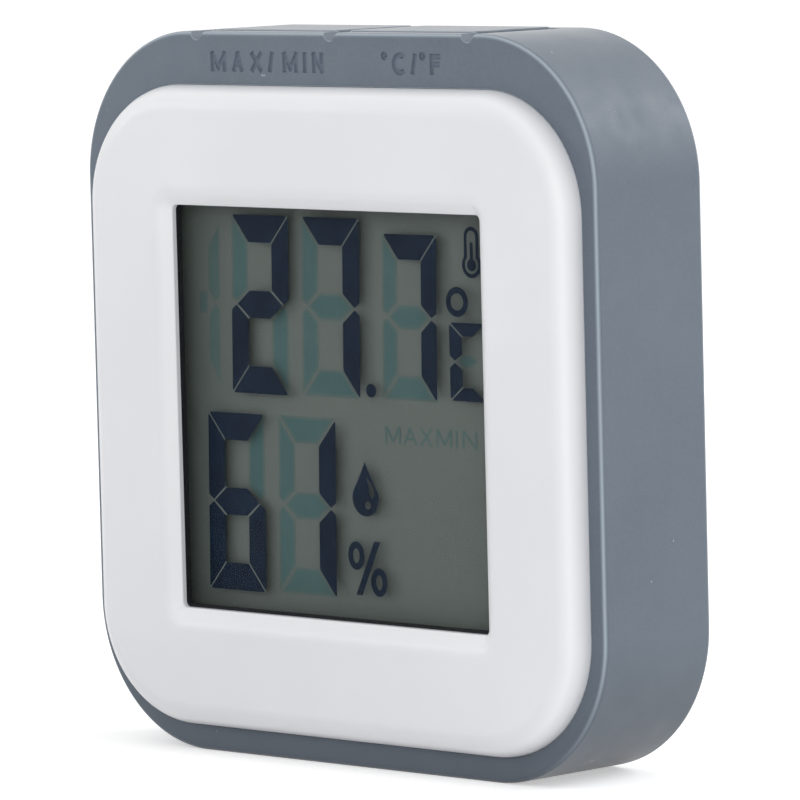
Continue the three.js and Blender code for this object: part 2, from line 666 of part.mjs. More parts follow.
// A black frame that carries the glass on a shelf and keeps the zebra strips in their slots.
function displayHolder() {
  const rear = BOARD_FRONT + BOND;
  const pocketWidth = GLASS_WIDTH + 2 * FIT;
  const pocketHeight = FRONT_GLASS_HEIGHT + 2 * FIT;
  const frame = plate(2 * HOLDER_SIDE, pocketHeight + 2 * HOLDER_WALL, rear, FACE_REAR - BOND);
  const pocket = plate(pocketWidth, pocketHeight, SHELF, FACE_REAR + FIT);
  const lightWidth = GLASS_WIDTH - 2 * SHELF_REACH;
  const lightHeight = REAR_GLASS_HEIGHT - 2 * SHELF_REACH;
  const light = plate(lightWidth, lightHeight, rear - FIT, SHELF + FIT);
  const slots = [-1, 1].map((side) => {
    const middle = CASE_MIDDLE + side * STRIP_RISE;
    const halfLength = GLASS_WIDTH / 2 - STRIP_END + FIT;
    const halfWidth = STRIP_WIDTH / 2 + FIT;
    return block(-halfLength, halfLength, middle - halfWidth, middle + halfWidth, rear - FIT, SHELF + FIT);
  });
  const bossRooms = CASE_SCREW_PLACES.map(([, x, y]) =>
    disc(BOSS_RADIUS + RUN, x, y, rear - FIT, FACE_REAR + FIT, SMALL_FACETS),
  );
  return cut(frame, pocket, light, ...slots, ...bossRooms);
}

// Circuit board and what is on it

const BOARD_SIDE = CASE_SIDE - CASE_WALL - BOARD_CLEARANCE;
const BOARD_TOP = SWITCH_TOP - RUN;
const BOARD_BOTTOM = CASE_BOTTOM + CASE_WALL + BOARD_CLEARANCE;
const POST_ROOM = POST_RADIUS + RUN;

// A board with its four corners cut out around the screw posts.
function circuitBoard() {
  const waist = CASE_SCREW_X - POST_ROOM;
  const low = CASE_SCREW_LOW + POST_ROOM;
  const high = CASE_SCREW_HIGH - POST_ROOM;
  const board = joined(
    block(-BOARD_SIDE, BOARD_SIDE, low, high, BOARD_BACK, BOARD_FRONT),
    block(-waist, waist, BOARD_BOTTOM, BOARD_TOP, BOARD_BACK, BOARD_FRONT),
  );
  const holes = BOARD_SCREW_PLACES.map(([, x, y]) =>
    disc(SCREW_RADIUS + FIT, x, y, BOARD_BACK - FIT, BOARD_FRONT + FIT, SMALL_FACETS),
  );
  return cut(board, ...holes);
}

function switchBody(side) {
  const middle = (side * PAD_PITCH) / 2;
  const half = SWITCH_WIDTH / 2;
  const rear = BOARD_BACK - BOND - SWITCH_DEPTH;
  const body = block(
    middle - half,
    middle + half,
    SWITCH_TOP - SWITCH_HEIGHT,
    SWITCH_TOP,
    rear,
    BOARD_BACK - BOND,
  );
  const boreDepth = PLUNGER_SEAT + PAD_TRAVEL + RUN;
  const boreRadius = PLUNGER_RADIUS + FIT;
  const bore = new THREE.CylinderGeometry(boreRadius, boreRadius, boreDepth + FIT, SMALL_FACETS);
  bore.translate(middle, SWITCH_TOP + FIT - (boreDepth + FIT) / 2, SWITCH_Z);
  return cut(body, bore);
}

function plunger(side) {
  const length = PLUNGER_TOP - PLUNGER_BOTTOM;
  const rod = new THREE.CylinderGeometry(PLUNGER_RADIUS, PLUNGER_RADIUS, length, SMALL_FACETS);
  return rod.translate((side * PAD_PITCH) / 2, PLUNGER_BOTTOM + length / 2, SWITCH_Z);
}

// A solid of revolution about a line along z, from [radius, z] points in rear to front order.
function turned(profile, x, y, facets = SMALL_FACETS) {
  const points = profile.map(([radius, z]) => new THREE.Vector2(radius, z));
  return new THREE.LatheGeometry(points, facets).rotateX(Math.PI / 2).translate(x, y, 0);
}

// A drop of black resin over the controller chip.
function controllerBlob() {
  const base = BOARD_BACK - BOND;
  const profile = [[0, base - BLOB_HEIGHT]];
  for (let i = 1; i <= EDGE_STEPS; i++) {
    const angle = ((i / EDGE_STEPS) * Math.PI) / 2;
    profile.push([BLOB_RADIUS * Math.sin(angle), base - BLOB_HEIGHT * Math.cos(angle)]);
  }
  profile.push([0, base]);
  return turned(profile, 0, (BOARD_BOTTOM + RECESS_TOP) / 2);
}

function crystalCan() {
  const can = new THREE.CylinderGeometry(CRYSTAL_RADIUS, CRYSTAL_RADIUS, CRYSTAL_LENGTH, SMALL_FACETS);
  const x = -BLOB_RADIUS - 2 * CRYSTAL_RADIUS - RUN;
  return can.translate(x, (BOARD_BOTTOM + RECESS_TOP) / 2, BOARD_BACK - BOND - CRYSTAL_RADIUS);
}

// The sensor sits behind one column of vents.
function climateSensor() {
  const y = LOWEST_VENT + ((VENT_COUNT - 1) / 2) * VENT_PITCH;
  const half = SENSOR_SIZE / 2;
  const rear = BOARD_BACK - BOND - SENSOR_HEIGHT;
  const can = block(VENT_X - half, VENT_X + half, y - half, y + half, rear, BOARD_BACK - BOND);
  const port = disc(SENSOR_PORT_RADIUS, VENT_X, y, rear - FIT, rear + SENSOR_PORT_DEPTH, SMALL_FACETS);
  return cut(can, port);
}

// A pan-head screw whose head bears on the face at seat, with its shank towards the front.
function screw(x, y, seat, length) {
  const headRear = seat - SEAT - SCREW_HEAD_HEIGHT;
  const profile = [
    [0, headRear],
    [SCREW_HEAD_RADIUS - SCREW_HEAD_EDGE, headRear],
    [SCREW_HEAD_RADIUS, headRear + SCREW_HEAD_EDGE],
    [SCREW_HEAD_RADIUS, seat - SEAT],
    [SCREW_RADIUS, seat - SEAT],
    [SCREW_RADIUS, seat + length - SCREW_RADIUS],
    [0, seat + length],
  ];
  const half = DRIVE_WIDTH / 2;
  const driveFront = headRear + DRIVE_DEPTH;
  return cut(
    turned(profile, x, y),
    block(x - DRIVE_REACH, x + DRIVE_REACH, y - half, y + half, headRear - FIT, driveFront),
    block(x - half, x + half, y - DRIVE_REACH, y + DRIVE_REACH, headRear - FIT, driveFront),
  );
}

// Coin cell, contacts and door

function coinCell() {
  const pole = CELL_RADIUS - CELL_STEP;
  const round = CELL_STEP / 2;
  return turned(
    [
      [0, CELL_REAR],
      [CELL_RADIUS - round, CELL_REAR],
      [CELL_RADIUS, CELL_REAR + round],
      [CELL_RADIUS, CELL_FRONT - round],
      [pole, CELL_FRONT - round / 2],
      [pole - round, CELL_FRONT],
      [0, CELL_FRONT],
    ],
    0,
    CELL_Y,
    ROUND_FACETS,
  );
}

// A leaf that rises from the board through the bay's floor to the cell's front pole.
function frontContact() {
  const foot = BOARD_BACK - BOND - CONTACT_THICKNESS / 2;
  const tip = CELL_FRONT + FIT + CONTACT_THICKNESS / 2;
  const line = [
    [CONTACT_FOOT, foot],
    [0, foot],
    [CONTACT_TIP - CONTACT_FOOT, tip],
    [-CONTACT_FOOT, tip],
  ];
  const strip = bentStrip(line, CONTACT_THICKNESS, CONTACT_WIDTH);
  return strip.rotateX(Math.PI / 2).rotateZ(Math.PI / 2).translate(0, CELL_Y, 0);
}

// A leaf that rises beside the bay and bends in through its wall to the cell's rim.
function rimContact() {
  const foot = BOARD_BACK - BOND - CONTACT_THICKNESS / 2;
  const rim = CELL_RADIUS + FIT + CONTACT_THICKNESS / 2;
  const stem = BAY_RADIUS + BAY_WALL - CONTACT_THICKNESS;
  const line = [
    [stem + CONTACT_FOOT, foot],
    [stem, foot],
    [stem, BAY_FLOOR_FRONT],
    [rim, (CELL_FRONT + CELL_REAR) / 2 + RUN],
    [rim, GROOVE_FRONT + 2 * RUN],
  ];
  const strip = bentStrip(line, CONTACT_THICKNESS, CONTACT_WIDTH);
  return strip.rotateX(Math.PI / 2).translate(0, CELL_Y, 0);
}

// A flush disc with a coin slot outside, and a skirt with lugs inside.
function batteryDoor() {
  const face = disc(DOOR_RADIUS, 0, CELL_Y, DOOR_OUTER, DOOR_INNER);
  const skirtOuter = disc(DOOR_RADIUS - FIT, 0, CELL_Y, DOOR_INNER - FIT, LUG_FRONT);
  const skirtInner = disc(CELL_RADIUS + SKIRT_INNER, 0, CELL_Y, DOOR_INNER, LUG_FRONT + FIT);
  const lugs = [];
  for (let i = 0; i < LUG_COUNT; i++) {
    const middle = FIRST_LUG + (i * 360) / LUG_COUNT;
    const half = LUG_ANGLE / 2;
    const shape = sector(CELL_RADIUS + SKIRT_INNER, LUG_RADIUS, middle - half, middle + half);
    lugs.push(prism(shape, LUG_REAR, LUG_FRONT).translate(0, CELL_Y, 0));
  }
  const slotOutline = roundedRectangle(COIN_SLOT_LENGTH, COIN_SLOT_WIDTH, COIN_SLOT_WIDTH / 2, 0, CELL_Y);
  const coinSlot = prism(slotOutline, DOOR_OUTER - FIT, DOOR_OUTER + COIN_SLOT_DEPTH, SLOT_STEPS);
  return cut(joined(face, cut(skirtOuter, skirtInner), ...lugs), coinSlot);
}

// Stand

function alongHinge(radius, length) {
  const rod = new THREE.CylinderGeometry(radius, radius, length, SMALL_FACETS);
  return rod.rotateZ(Math.PI / 2).translate(0, HINGE_Y, HINGE_Z);
}

function stand() {
  const half = STAND_WIDTH / 2;
  const outer = HINGE_Z - BARREL_RADIUS;
  const leafHeight = STAND_LENGTH + STAND_CORNER;
  const leafMiddle = HINGE_Y - STAND_CORNER + leafHeight / 2;
  const outline = roundedRectangle(STAND_WIDTH, leafHeight, STAND_CORNER, 0, leafMiddle);
  const inner = outer + STAND_THICKNESS;
  const belowHinge = block(-half, half, HINGE_Y - 2 * STAND_CORNER, HINGE_Y, outer - FIT, inner + FIT);
  const leaf = cut(prism(outline, outer, inner), belowHinge);
  const barrel = alongHinge(BARREL_RADIUS, STAND_WIDTH);
  return cut(joined(leaf, barrel), alongHinge(PIN_RADIUS + PIN_RUNNING_GAP, STAND_WIDTH + 2 * FIT));
}

function hingePin() {
  return alongHinge(PIN_RADIUS, 2 * (RECESS_SIDE + PIN_SEAT));
}

// Assembly

function piece(name, geometry, material) {
  const mesh = new THREE.Mesh(geometry, material);
  mesh.name = name;
  return mesh;
}

const display = new THREE.Group();
display.add(
  piece("dust_gasket", dustGasket(), BLACK_FOAM),
  piece("lcd_front_polarizer", frontPolarizer(), POLARIZER_FILM),
  piece("lcd_front_glass", frontGlass(), GLASS),
  piece("lcd_rear_glass", rearGlass(), GLASS),
  piece("lcd_reflector", reflectorFilm(), REFLECTOR_FILM),
  piece("lcd_holder", displayHolder(), BLACK_PLASTIC),
  piece("zebra_strip_upper", zebraStrip(1), ZEBRA_RUBBER),
  piece("zebra_strip_lower", zebraStrip(-1), ZEBRA_RUBBER),
);

const electronics = new THREE.Group();
electronics.add(
  piece("circuit_board", circuitBoard(), BOARD_GREEN),
  piece("controller_blob", controllerBlob(), EPOXY),
  piece("crystal_can", crystalCan(), STEEL),
  piece("climate_sensor", climateSensor(), SENSOR_CASE),
  piece("coin_cell", coinCell(), STEEL),
  piece("cell_front_contact", frontContact(), STEEL),
  piece("cell_rim_contact", rimContact(), STEEL),
);

const controls = new THREE.Group();
for (const [name, side] of [
  ["max_min", -1],
  ["unit", 1],
]) {
  controls.add(
    piece(`${name}_button`, pressPad(side), SILICONE),
    piece(`${name}_plunger`, plunger(side), SWITCH_BLACK),
    piece(`${name}_switch_body`, switchBody(side), SWITCH_BLACK),
  );
}

const shell = new THREE.Group();
shell.add(
  piece("silicone_sleeve", siliconeSleeve(), SILICONE),
  piece("front_bezel", frontBezel(), WHITE_PLASTIC),
  piece("rear_cover", rearCover(), WHITE_PLASTIC),
  piece("battery_door", batteryDoor(), WHITE_PLASTIC),
  piece("stand", stand(), WHITE_PLASTIC),
  piece("stand_hinge_pin", hingePin(), STEEL),
);
for (const [name, x, y] of CASE_SCREW_PLACES) {
  shell.add(piece(`case_screw_${name}`, screw(x, y, CASE_SCREW_SEAT, CASE_SCREW_LENGTH), STEEL));
}
for (const [name, x, y] of BOARD_SCREW_PLACES) {
  shell.add(piece(`board_screw_${name}`, screw(x, y, BOARD_BACK, BOARD_SCREW_LENGTH), STEEL));
}

// The drawing is turned upright, and its depth is centred on the origin.
const hygrometer = new THREE.Group();
hygrometer.name = "desktop_hygrometer";
hygrometer.rotation.x = Math.PI / 2;
hygrometer.position.y = (BEZEL_PROUD - SLEEVE_DEPTH) / 2;
hygrometer.add(shell, display, electronics, controls);

const assembly = new THREE.Group();
assembly.add(hygrometer);
export default assembly;
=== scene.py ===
"""Looks of a desktop hygrometer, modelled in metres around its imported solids.

The display faces -Y, +X is to the right as seen from the front, and +Z is up.
"""

import json
import math

import bmesh
import bpy
from mathutils import Matrix, Vector

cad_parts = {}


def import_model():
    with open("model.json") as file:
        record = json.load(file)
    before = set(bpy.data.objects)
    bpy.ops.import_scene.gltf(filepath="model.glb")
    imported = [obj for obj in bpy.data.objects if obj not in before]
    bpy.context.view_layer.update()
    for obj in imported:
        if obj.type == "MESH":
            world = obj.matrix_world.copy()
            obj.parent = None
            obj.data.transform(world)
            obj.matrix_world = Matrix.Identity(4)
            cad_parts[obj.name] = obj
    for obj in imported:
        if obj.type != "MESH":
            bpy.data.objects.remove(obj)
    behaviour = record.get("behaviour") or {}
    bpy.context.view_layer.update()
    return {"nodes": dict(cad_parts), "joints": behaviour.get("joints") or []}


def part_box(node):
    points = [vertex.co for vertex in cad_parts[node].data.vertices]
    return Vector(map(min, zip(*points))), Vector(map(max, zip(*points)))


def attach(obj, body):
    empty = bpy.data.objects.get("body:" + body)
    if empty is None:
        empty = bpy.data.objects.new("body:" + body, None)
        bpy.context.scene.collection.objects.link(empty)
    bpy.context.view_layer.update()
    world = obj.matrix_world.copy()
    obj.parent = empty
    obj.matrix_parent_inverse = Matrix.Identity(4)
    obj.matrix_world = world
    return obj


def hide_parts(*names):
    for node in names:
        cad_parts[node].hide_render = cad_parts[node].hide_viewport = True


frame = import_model()
scene = bpy.context.scene

MM = 0.001
TINY = 1e-6  # two places this close are one place

# Places of the solids that the pieces stand for.
SLEEVE_LOW, SLEEVE_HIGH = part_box("silicone_sleeve")
BEZEL_LOW, BEZEL_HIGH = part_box("front_bezel")
COVER_LOW, COVER_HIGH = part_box("rear_cover")
GASKET_LOW, GASKET_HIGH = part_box("dust_gasket")
FRONT_GLASS_LOW, FRONT_GLASS_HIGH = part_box("lcd_front_glass")
REAR_GLASS_LOW, REAR_GLASS_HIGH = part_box("lcd_rear_glass")
POLARIZER_LOW, POLARIZER_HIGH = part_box("lcd_front_polarizer")
DOOR_LOW, DOOR_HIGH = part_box("battery_door")
STAND_LOW, STAND_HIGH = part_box("stand")
PIN_LOW, PIN_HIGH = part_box("stand_hinge_pin")
REFLECTOR_LOW, REFLECTOR_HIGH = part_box("lcd_reflector")

CASE_MIDDLE = (BEZEL_LOW.z + BEZEL_HIGH.z) / 2

# Case and window.
CASE_CORNER = 9.7 * MM
CASE_WALL = 1.5 * MM
FACE_WALL = 1.4 * MM
BEZEL_EDGE = 2.1 * MM
WINDOW_WIDTH = 34.1 * MM
WINDOW_HEIGHT = 32.7 * MM
WINDOW_CORNER = 0.45 * MM
BAND_WIDTH = 1.75 * MM
BAND_SLOPE = math.radians(41)
BAND_OUTER_RADIUS = 1.6 * MM
BAND_LIP_RADIUS = 0.2 * MM
GASKET_SHOW = 0.2 * MM  # how far the foam's lower bar stands into the window
GASKET_CORNER = 0.6 * MM
GASKET_EDGE = 0.08 * MM

# Sleeve.
SLEEVE_CORNER = 11.9 * MM
SLEEVE_FRONT_EDGE = 0.45 * MM
SLEEVE_BACK_EDGE = 0.6 * MM
SLEEVE_LIP_WIDTH = 1.3 * MM
SLEEVE_LIP_THICKNESS = 1.2 * MM
SLEEVE_MOUTH_EDGE = 0.12 * MM  # rounding where the bezel comes out
SLEEVE_SEAT = 0.02 * MM  # the stretched sleeve hugs the case
SLEEVE_SHADE_HEIGHT = 11 * MM  # up to here painted shade makes the sleeve darker towards the bottom
FIT = 0.1 * MM  # overlap of joined shapes, reach of a cutter past a face, or play between pieces
OVERCUT = 1.0 * MM  # how far some cutters reach past what they cut

# Press pads and the dips between them.
PAD_PITCH = 15 * MM
PAD_WINDOW_WIDTH = 14 * MM
PAD_FRONT_WALL = 1.5 * MM
PAD_BACK_WALL = 1.9 * MM
PAD_GAP = 0.035 * MM
PAD_CORNER = 0.7 * MM
PAD_TOP_EDGE = 0.15 * MM
PAD_FLANGE = 0.85 * MM
PAD_LIFT = 0.65 * MM  # from the bezel up to the flange, beyond the fit
PAD_LEDGE = 0.5 * MM
PAD_NUB_RADIUS = 1.0 * MM
DIP_WIDTH = 2.2 * MM
DIP_DEPTH = 0.7 * MM
DIP_FLOOR = 0.3  # width of a dip's floor, as a share of its mouth
DIP_FLOOR_EDGE = 0.4 * MM
DIP_RIM_EDGE = 0.4 * MM

# Sunk lettering on the sleeve's front.
LETTER_HEIGHT = 1.8 * MM
LETTER_RISE = 53.0 * MM  # above the bezel's lower edge
LETTER_STROKE = 0.6 * MM
LETTER_DEPTH = 0.13 * MM
LETTER_FLOOR = 0.5  # width of a stroke's floor, as a share of its mouth

# Back of the case.
PANEL_INSET = 1.4 * MM
PANEL_SHOULDER = 1.15 * MM  # from the panel's rear face forward to the sleeve's lip
PANEL_WALL = 1.6 * MM
PANEL_EDGE = 0.35 * MM
DOOR_RADIUS = 11.6 * MM
DOOR_GAP = 0.15 * MM
DOOR_WALL = 1.5 * MM
DOOR_EDGE = 0.3 * MM
DOOR_SKIRT_INNER = 10.4 * MM
LUG_REACH = 1.1 * MM
LUG_THICKNESS = 0.95 * MM
LUG_COUNT = 3
LUG_ANGLE = 24  # degrees, as the next three
FIRST_LUG = 120
LOCK_ANGLE = 45
NOTCH_ANGLE = 28
COIN_SLOT_LENGTH = 12 * MM
COIN_SLOT_WIDTH = 1.7 * MM
COIN_SLOT_DEPTH = 0.7 * MM
BAY_WALL = 1.2 * MM
BAY_DEPTH = 5.8 * MM
BAY_FLOOR = 0.75 * MM
STAND_GAP = 0.25 * MM
STAND_CORNER = 1.5 * MM
STAND_THICKNESS = 1.5 * MM
BARREL_RADIUS = 1.1 * MM
PIN_HOLE_RADIUS = 0.58 * MM
POCKET_WALL = 1.2 * MM
HINGE_CHEEK = 1.0 * MM  # more wall at the ends of the stand's hinge
FINGER_RADIUS = 2.8 * MM
FINGER_DEPTH = 1.0 * MM
VENT_COUNT = 5
VENT_LENGTH = 6 * MM
VENT_WIDTH = 1.2 * MM
VENT_PITCH = 2.6 * MM
VENT_MIDDLE = 17.25 * MM
LOWEST_VENT = 9.45 * MM  # above the bezel's lower edge
SCREW_RECESS_RADIUS = 1.8 * MM
SCREW_HEAD_RADIUS = 1.7 * MM
SCREW_HEAD_HEIGHT = 1.3 * MM
SCREW_HEAD_CROWN = 0.45 * MM
SCREW_SHANK_RADIUS = 0.95 * MM
SCREW_WALL = 0.85 * MM  # plastic around a screw
SCREW_SEAT = 0.05 * MM  # between a screw and its hole, and from a boss to what it bears on
CROSS_LENGTH = 2.0 * MM
CROSS_WIDTH = 0.5 * MM
CROSS_DEPTH = 0.6 * MM

# Display figures, in places measured from the middle of the bezel and from its lower edge.
DIGIT_WIDTH = 6.43 * MM
DIGIT_HEIGHT = 14.4 * MM
DIGIT_BAR = 2.2 * MM
DIGIT_POST = 1.87 * MM
TENTH_WIDTH = 5.88 * MM
TENTH_HEIGHT = 13.2 * MM
TENTH_BAR = 2.0 * MM
TENTH_POST = 1.67 * MM
LEADING_POST = 1.3 * MM
UNIT_WIDTH = 3.85 * MM
UNIT_HEIGHT = 6.15 * MM
UNIT_BAR = 1.05 * MM
UNIT_POST = 1.33 * MM
DIGIT_SLANT = math.radians(1.3)
SEGMENT_GAP = 0.08 * MM
SEGMENT_CORNER = 0.3 * MM
POST_TIP = 0.55 * MM  # from an upright segment's outer side to its point
POST_SHOULDER = 0.5 * MM  # from a digit's middle up to where the outer side ends
CENTRE_NOSE = 0.68 * MM  # from a digit's side to the point of its middle segment
CENTRE_SETBACK = 0.2 * MM
FIGURE_THICKNESS = 0.012 * MM
LAYER_STEP = 0.004 * MM  # from one overlapping stroke or tint to the next, along Y
FAINT_EDGE = 0.14 * MM  # each tint of a faint figure is smaller all round by this
FAINT_SHIFT = -0.6 * MM  # a faint figure shows by its shade, which lies to its left on the reflector
FILM_THICKNESS = 0.02 * MM
TRAY_MARGIN = 1.5 * MM  # beside the window, to the rim of the reflector's tray
TRAY_RIM = 0.15 * MM

# Fineness.
CORNER_SEGMENTS = 28
EDGE_SEGMENTS = 6
ROUND_SEGMENTS = 96
SMALL_SEGMENTS = 32
FOLD_SEGMENTS = 3
FEW_SEGMENTS = 4
BEZEL_EDGE_SEGMENTS = 8
WINDOW_CORNER_SEGMENTS = 12
GASKET_CORNER_SEGMENTS = 5
PAD_CORNER_SEGMENTS = 8
PAD_EDGE_SEGMENTS = 5
SLOT_END_SEGMENTS = 10
STAND_CORNER_SEGMENTS = 10
CROWN_SEGMENTS = 5
SEGMENT_CORNER_STEPS = 5
STEM_TOP_STEPS = 12
DROP_FLANK_STEPS = 10
SMOOTH_ANGLE = math.radians(42)
SHARP_ANGLE = math.radians(50)
FLAT_ANGLE = math.radians(0.1)  # faces that fold by less become one
HALF_TURNED = 0.5  # square of the cosine of 45 degrees


def tone(red, green, blue):
    """A display colour from 0 to 255, as the linear colour that a shader takes."""
    return (*(linear(channel / 255) for channel in (red, green, blue)), 1.0)


def linear(value):
    """A display value from 0 to 1 as an amount of light."""
    return value / 12.92 if value <= 0.04045 else ((value + 0.055) / 1.055) ** 2.4


# Materials


class Finish:
    """A Principled material whose patterns follow the piece's own coordinates."""

    def __init__(self, name, **sockets):
        self.material = bpy.data.materials.new(name)
        self.material.use_nodes = True
        self.nodes = self.material.node_tree.nodes
        self.links = self.material.node_tree.links
        self.shader = self.nodes["Principled BSDF"]
        self.coordinates = self.nodes.new("ShaderNodeTexCoord")
        self.place = self.coordinates.outputs["Object"]
        for socket, value in sockets.items():
            self.shader.inputs[socket.replace("_", " ").title().replace("Ior", "IOR")].default_value = value

    def feed(self, socket, source):
        self.links.new(source, self.shader.inputs[socket])

    def noise(self, scale, detail=2.0, stretch=(1, 1, 1)):
        mapping = self.nodes.new("ShaderNodeMapping")
        mapping.inputs["Scale"].default_value = stretch
        self.links.new(self.place, mapping.inputs["Vector"])
        texture = self.nodes.new("ShaderNodeTexNoise")
        texture.inputs["Scale"].default_value = scale
        texture.inputs["Detail"].default_value = detail
        self.links.new(mapping.outputs["Vector"], texture.inputs["Vector"])
        return texture.outputs["Fac"]

    def cells(self, scale, randomness=1.0):
        texture = self.nodes.new("ShaderNodeTexVoronoi")
        texture.inputs["Scale"].default_value = scale
        texture.inputs["Randomness"].default_value = randomness
        self.links.new(self.place, texture.inputs["Vector"])
        return texture.outputs["Distance"]

    def edges(self):
        """Bright on ridges and dark in creases."""
        return self.nodes.new("ShaderNodeNewGeometry").outputs["Pointiness"]

    def roundings(self, most):
        """Up to the given share where a surface turns from facing along Y to facing across it, or else 0."""
        axes = self.nodes.new("ShaderNodeSeparateXYZ")
        self.links.new(self.coordinates.outputs["Normal"], axes.inputs["Vector"])
        square = self.nodes.new("ShaderNodeMath")
        square.operation = "MULTIPLY"
        for socket in square.inputs[:2]:
            self.links.new(axes.outputs["Y"], socket)
        turned = self.nodes.new("ShaderNodeMath")
        turned.operation = "PINGPONG"
        turned.inputs[1].default_value = HALF_TURNED
        self.links.new(square.outputs[0], turned.inputs[0])
        return self.spread(turned.outputs[0], 0, most, 0.1 * HALF_TURNED, 0.9 * HALF_TURNED)

    def rise(self, start, end):
        """From 0 at one height of the object to 1 at another."""
        axes = self.nodes.new("ShaderNodeSeparateXYZ")
        self.links.new(self.place, axes.inputs["Vector"])
        return self.spread(axes.outputs["Z"], 0, 1, start, end)

    def spread(self, source, low, high, start=0.3, end=0.7):
        """The source's values from start to end, stretched to run from low to high."""
        node = self.nodes.new("ShaderNodeMapRange")
        for socket, value in zip(("From Min", "From Max", "To Min", "To Max"), (start, end, low, high)):
            node.inputs[socket].default_value = value
        self.links.new(source, node.inputs["Value"])
        return node.outputs["Result"]

    def mix(self, share, first, second):
        """Two colours, or two colour sockets, mixed by a socket."""
        node = self.nodes.new("ShaderNodeMix")
        node.data_type = "RGBA"
        self.links.new(share, node.inputs[0])
        for socket, colour in ((node.inputs[6], first), (node.inputs[7], second)):
            if isinstance(colour, bpy.types.NodeSocket):
                self.links.new(colour, socket)
            else:
                socket.default_value = colour
        return node.outputs[2]

    def bump(self, source, strength, depth, over=None):
        node = self.nodes.new("ShaderNodeBump")
        node.inputs["Strength"].default_value = strength
        node.inputs["Distance"].default_value = depth
        self.links.new(source, node.inputs["Height"])
        if over:
            self.links.new(over, node.inputs["Normal"])
        return node.outputs["Normal"]

    def clouds(self, scale, dark, pale, detail=2.0):
        """Two tones that run into each other in soft clouds."""
        return self.mix(self.spread(self.noise(scale, detail), 0, 1), dark, pale)

    def roughen(self, scale, low, high, detail=2.0):
        """Let the roughness wander between two values."""
        self.feed("Roughness", self.spread(self.noise(scale, detail), low, high))

    def grain(self, scale, strength, depth, over=None):
        """Cover the surface with fine bumps, over coarser ones if there are any."""
        self.feed("Normal", self.bump(self.noise(scale), strength, depth, over))


def silicone():
    """Soft grey-blue rubber with a dry bloom, a painted highlight on its roundings, painted shade towards the
    bottom, and a few specks of lint.
    """
    finish = Finish("sleeve_silicone", sheen_weight=0.45, sheen_roughness=0.4, specular_ior_level=0.45)
    cloud = finish.clouds(70, tone(88, 99, 111), tone(94, 105, 117), detail=3)
    speckled = finish.mix(finish.spread(finish.noise(5200), 0, 0.35), cloud, tone(104, 115, 126))
    # painted highlight: the roundings between the faces are paler
    rounded = finish.mix(finish.roundings(0.9), speckled, tone(165, 177, 188))
    # painted shade: the rubber darkens towards the bottom
    shaded_foot = finish.mix(finish.rise(0, SLEEVE_SHADE_HEIGHT), tone(74, 83, 94), rounded)
    lint = finish.spread(finish.noise(1500, 0.5), 0, 0.6, 0.835, 0.845)
    finish.feed("Base Color", finish.mix(lint, shaded_foot, tone(176, 182, 188)))
    finish.roughen(420, 0.5, 0.62, detail=3)
    waves = finish.bump(finish.noise(260), 0.1, 0.05 * MM)
    finish.grain(7000, 0.18, 0.02 * MM, over=waves)
    return finish.material


def sunk_shade_silicone():
    """A duller copy of the rubber, without its sheen, for the sunk lettering: painted shade in the strokes.
    """
    finish = Finish("sunk_shade_silicone", specular_ior_level=0.3)
    finish.feed("Base Color", finish.clouds(900, tone(90, 100, 113), tone(98, 108, 121), detail=3))
    finish.roughen(2000, 0.62, 0.75)
    finish.grain(6000, 0.2, 0.02 * MM)
    return finish.material


def white_plastic():
    """Moulded white plastic with a fine spark-eroded grain and a painted highlight on its roundings."""
    finish = Finish("white_plastic", specular_ior_level=0.4)
    cloud = finish.clouds(60, tone(225, 226, 230), tone(230, 231, 234), detail=3)
    # painted highlight: the roundings are paler than the flat faces
    finish.feed("Base Color", finish.mix(finish.roundings(0.55), cloud, tone(252, 252, 254)))
    finish.roughen(900, 0.36, 0.46, detail=3)
    finish.grain(6500, 0.12, 0.015 * MM)
    return finish.material


def black_foam():
    """Closed-cell foam: dull black, pitted by its cells."""
    finish = Finish("black_foam", specular_ior_level=0.2)
    pits = finish.cells(5000)
    pitted = finish.spread(pits, 0, 1, 0.1, 0.6)
    finish.feed("Base Color", finish.mix(pitted, tone(14, 15, 17), tone(34, 35, 38)))
    finish.roughen(2500, 0.8, 0.95)
    finish.feed("Normal", finish.bump(pits, 0.5, 0.05 * MM))
    return finish.material


def clear_sheet():
    """Polarizer over glass: nearly clear, a little smoky, with a low anti-glare shine."""
    finish = Finish("lcd_clear_sheet", alpha=0.04, specular_ior_level=0.5)
    haze = finish.noise(1800)
    finish.feed("Base Color", finish.mix(finish.spread(haze, 0, 1), tone(30, 34, 34), tone(40, 44, 42)))
    finish.feed("Roughness", finish.spread(haze, 0.2, 0.3))
    return finish.material


def reflector():
    """Grey-green reflector film with a fine metallic grain."""
    finish = Finish("lcd_reflector_film", specular_ior_level=0.3)
    glints = finish.noise(4200, 3)
    ground = finish.clouds(80, tone(86, 95, 92), tone(92, 100, 96), detail=3)
    finish.feed("Base Color", finish.mix(finish.spread(glints, 0, 0.5), ground, tone(101, 109, 104)))
    finish.feed("Roughness", finish.spread(glints, 0.5, 0.65))
    finish.feed("Normal", finish.bump(glints, 0.15, 0.02 * MM))
    return finish.material


def lit_figure():
    """Switched-on crystal: deep navy, a little lighter in clouds."""
    finish = Finish("lcd_lit_figure", roughness=0.55, specular_ior_level=0.1)
    finish.feed("Base Color", finish.clouds(500, tone(3, 21, 39), tone(10, 29, 49)))
    return finish.material


def faint_figure(name, dark, pale):
    """Shade of the switched-off crystal: a blue-green tint of the ground."""
    finish = Finish(name, roughness=0.6, specular_ior_level=0.1)
    finish.feed("Base Color", finish.clouds(400, dark, pale))
    return finish.material


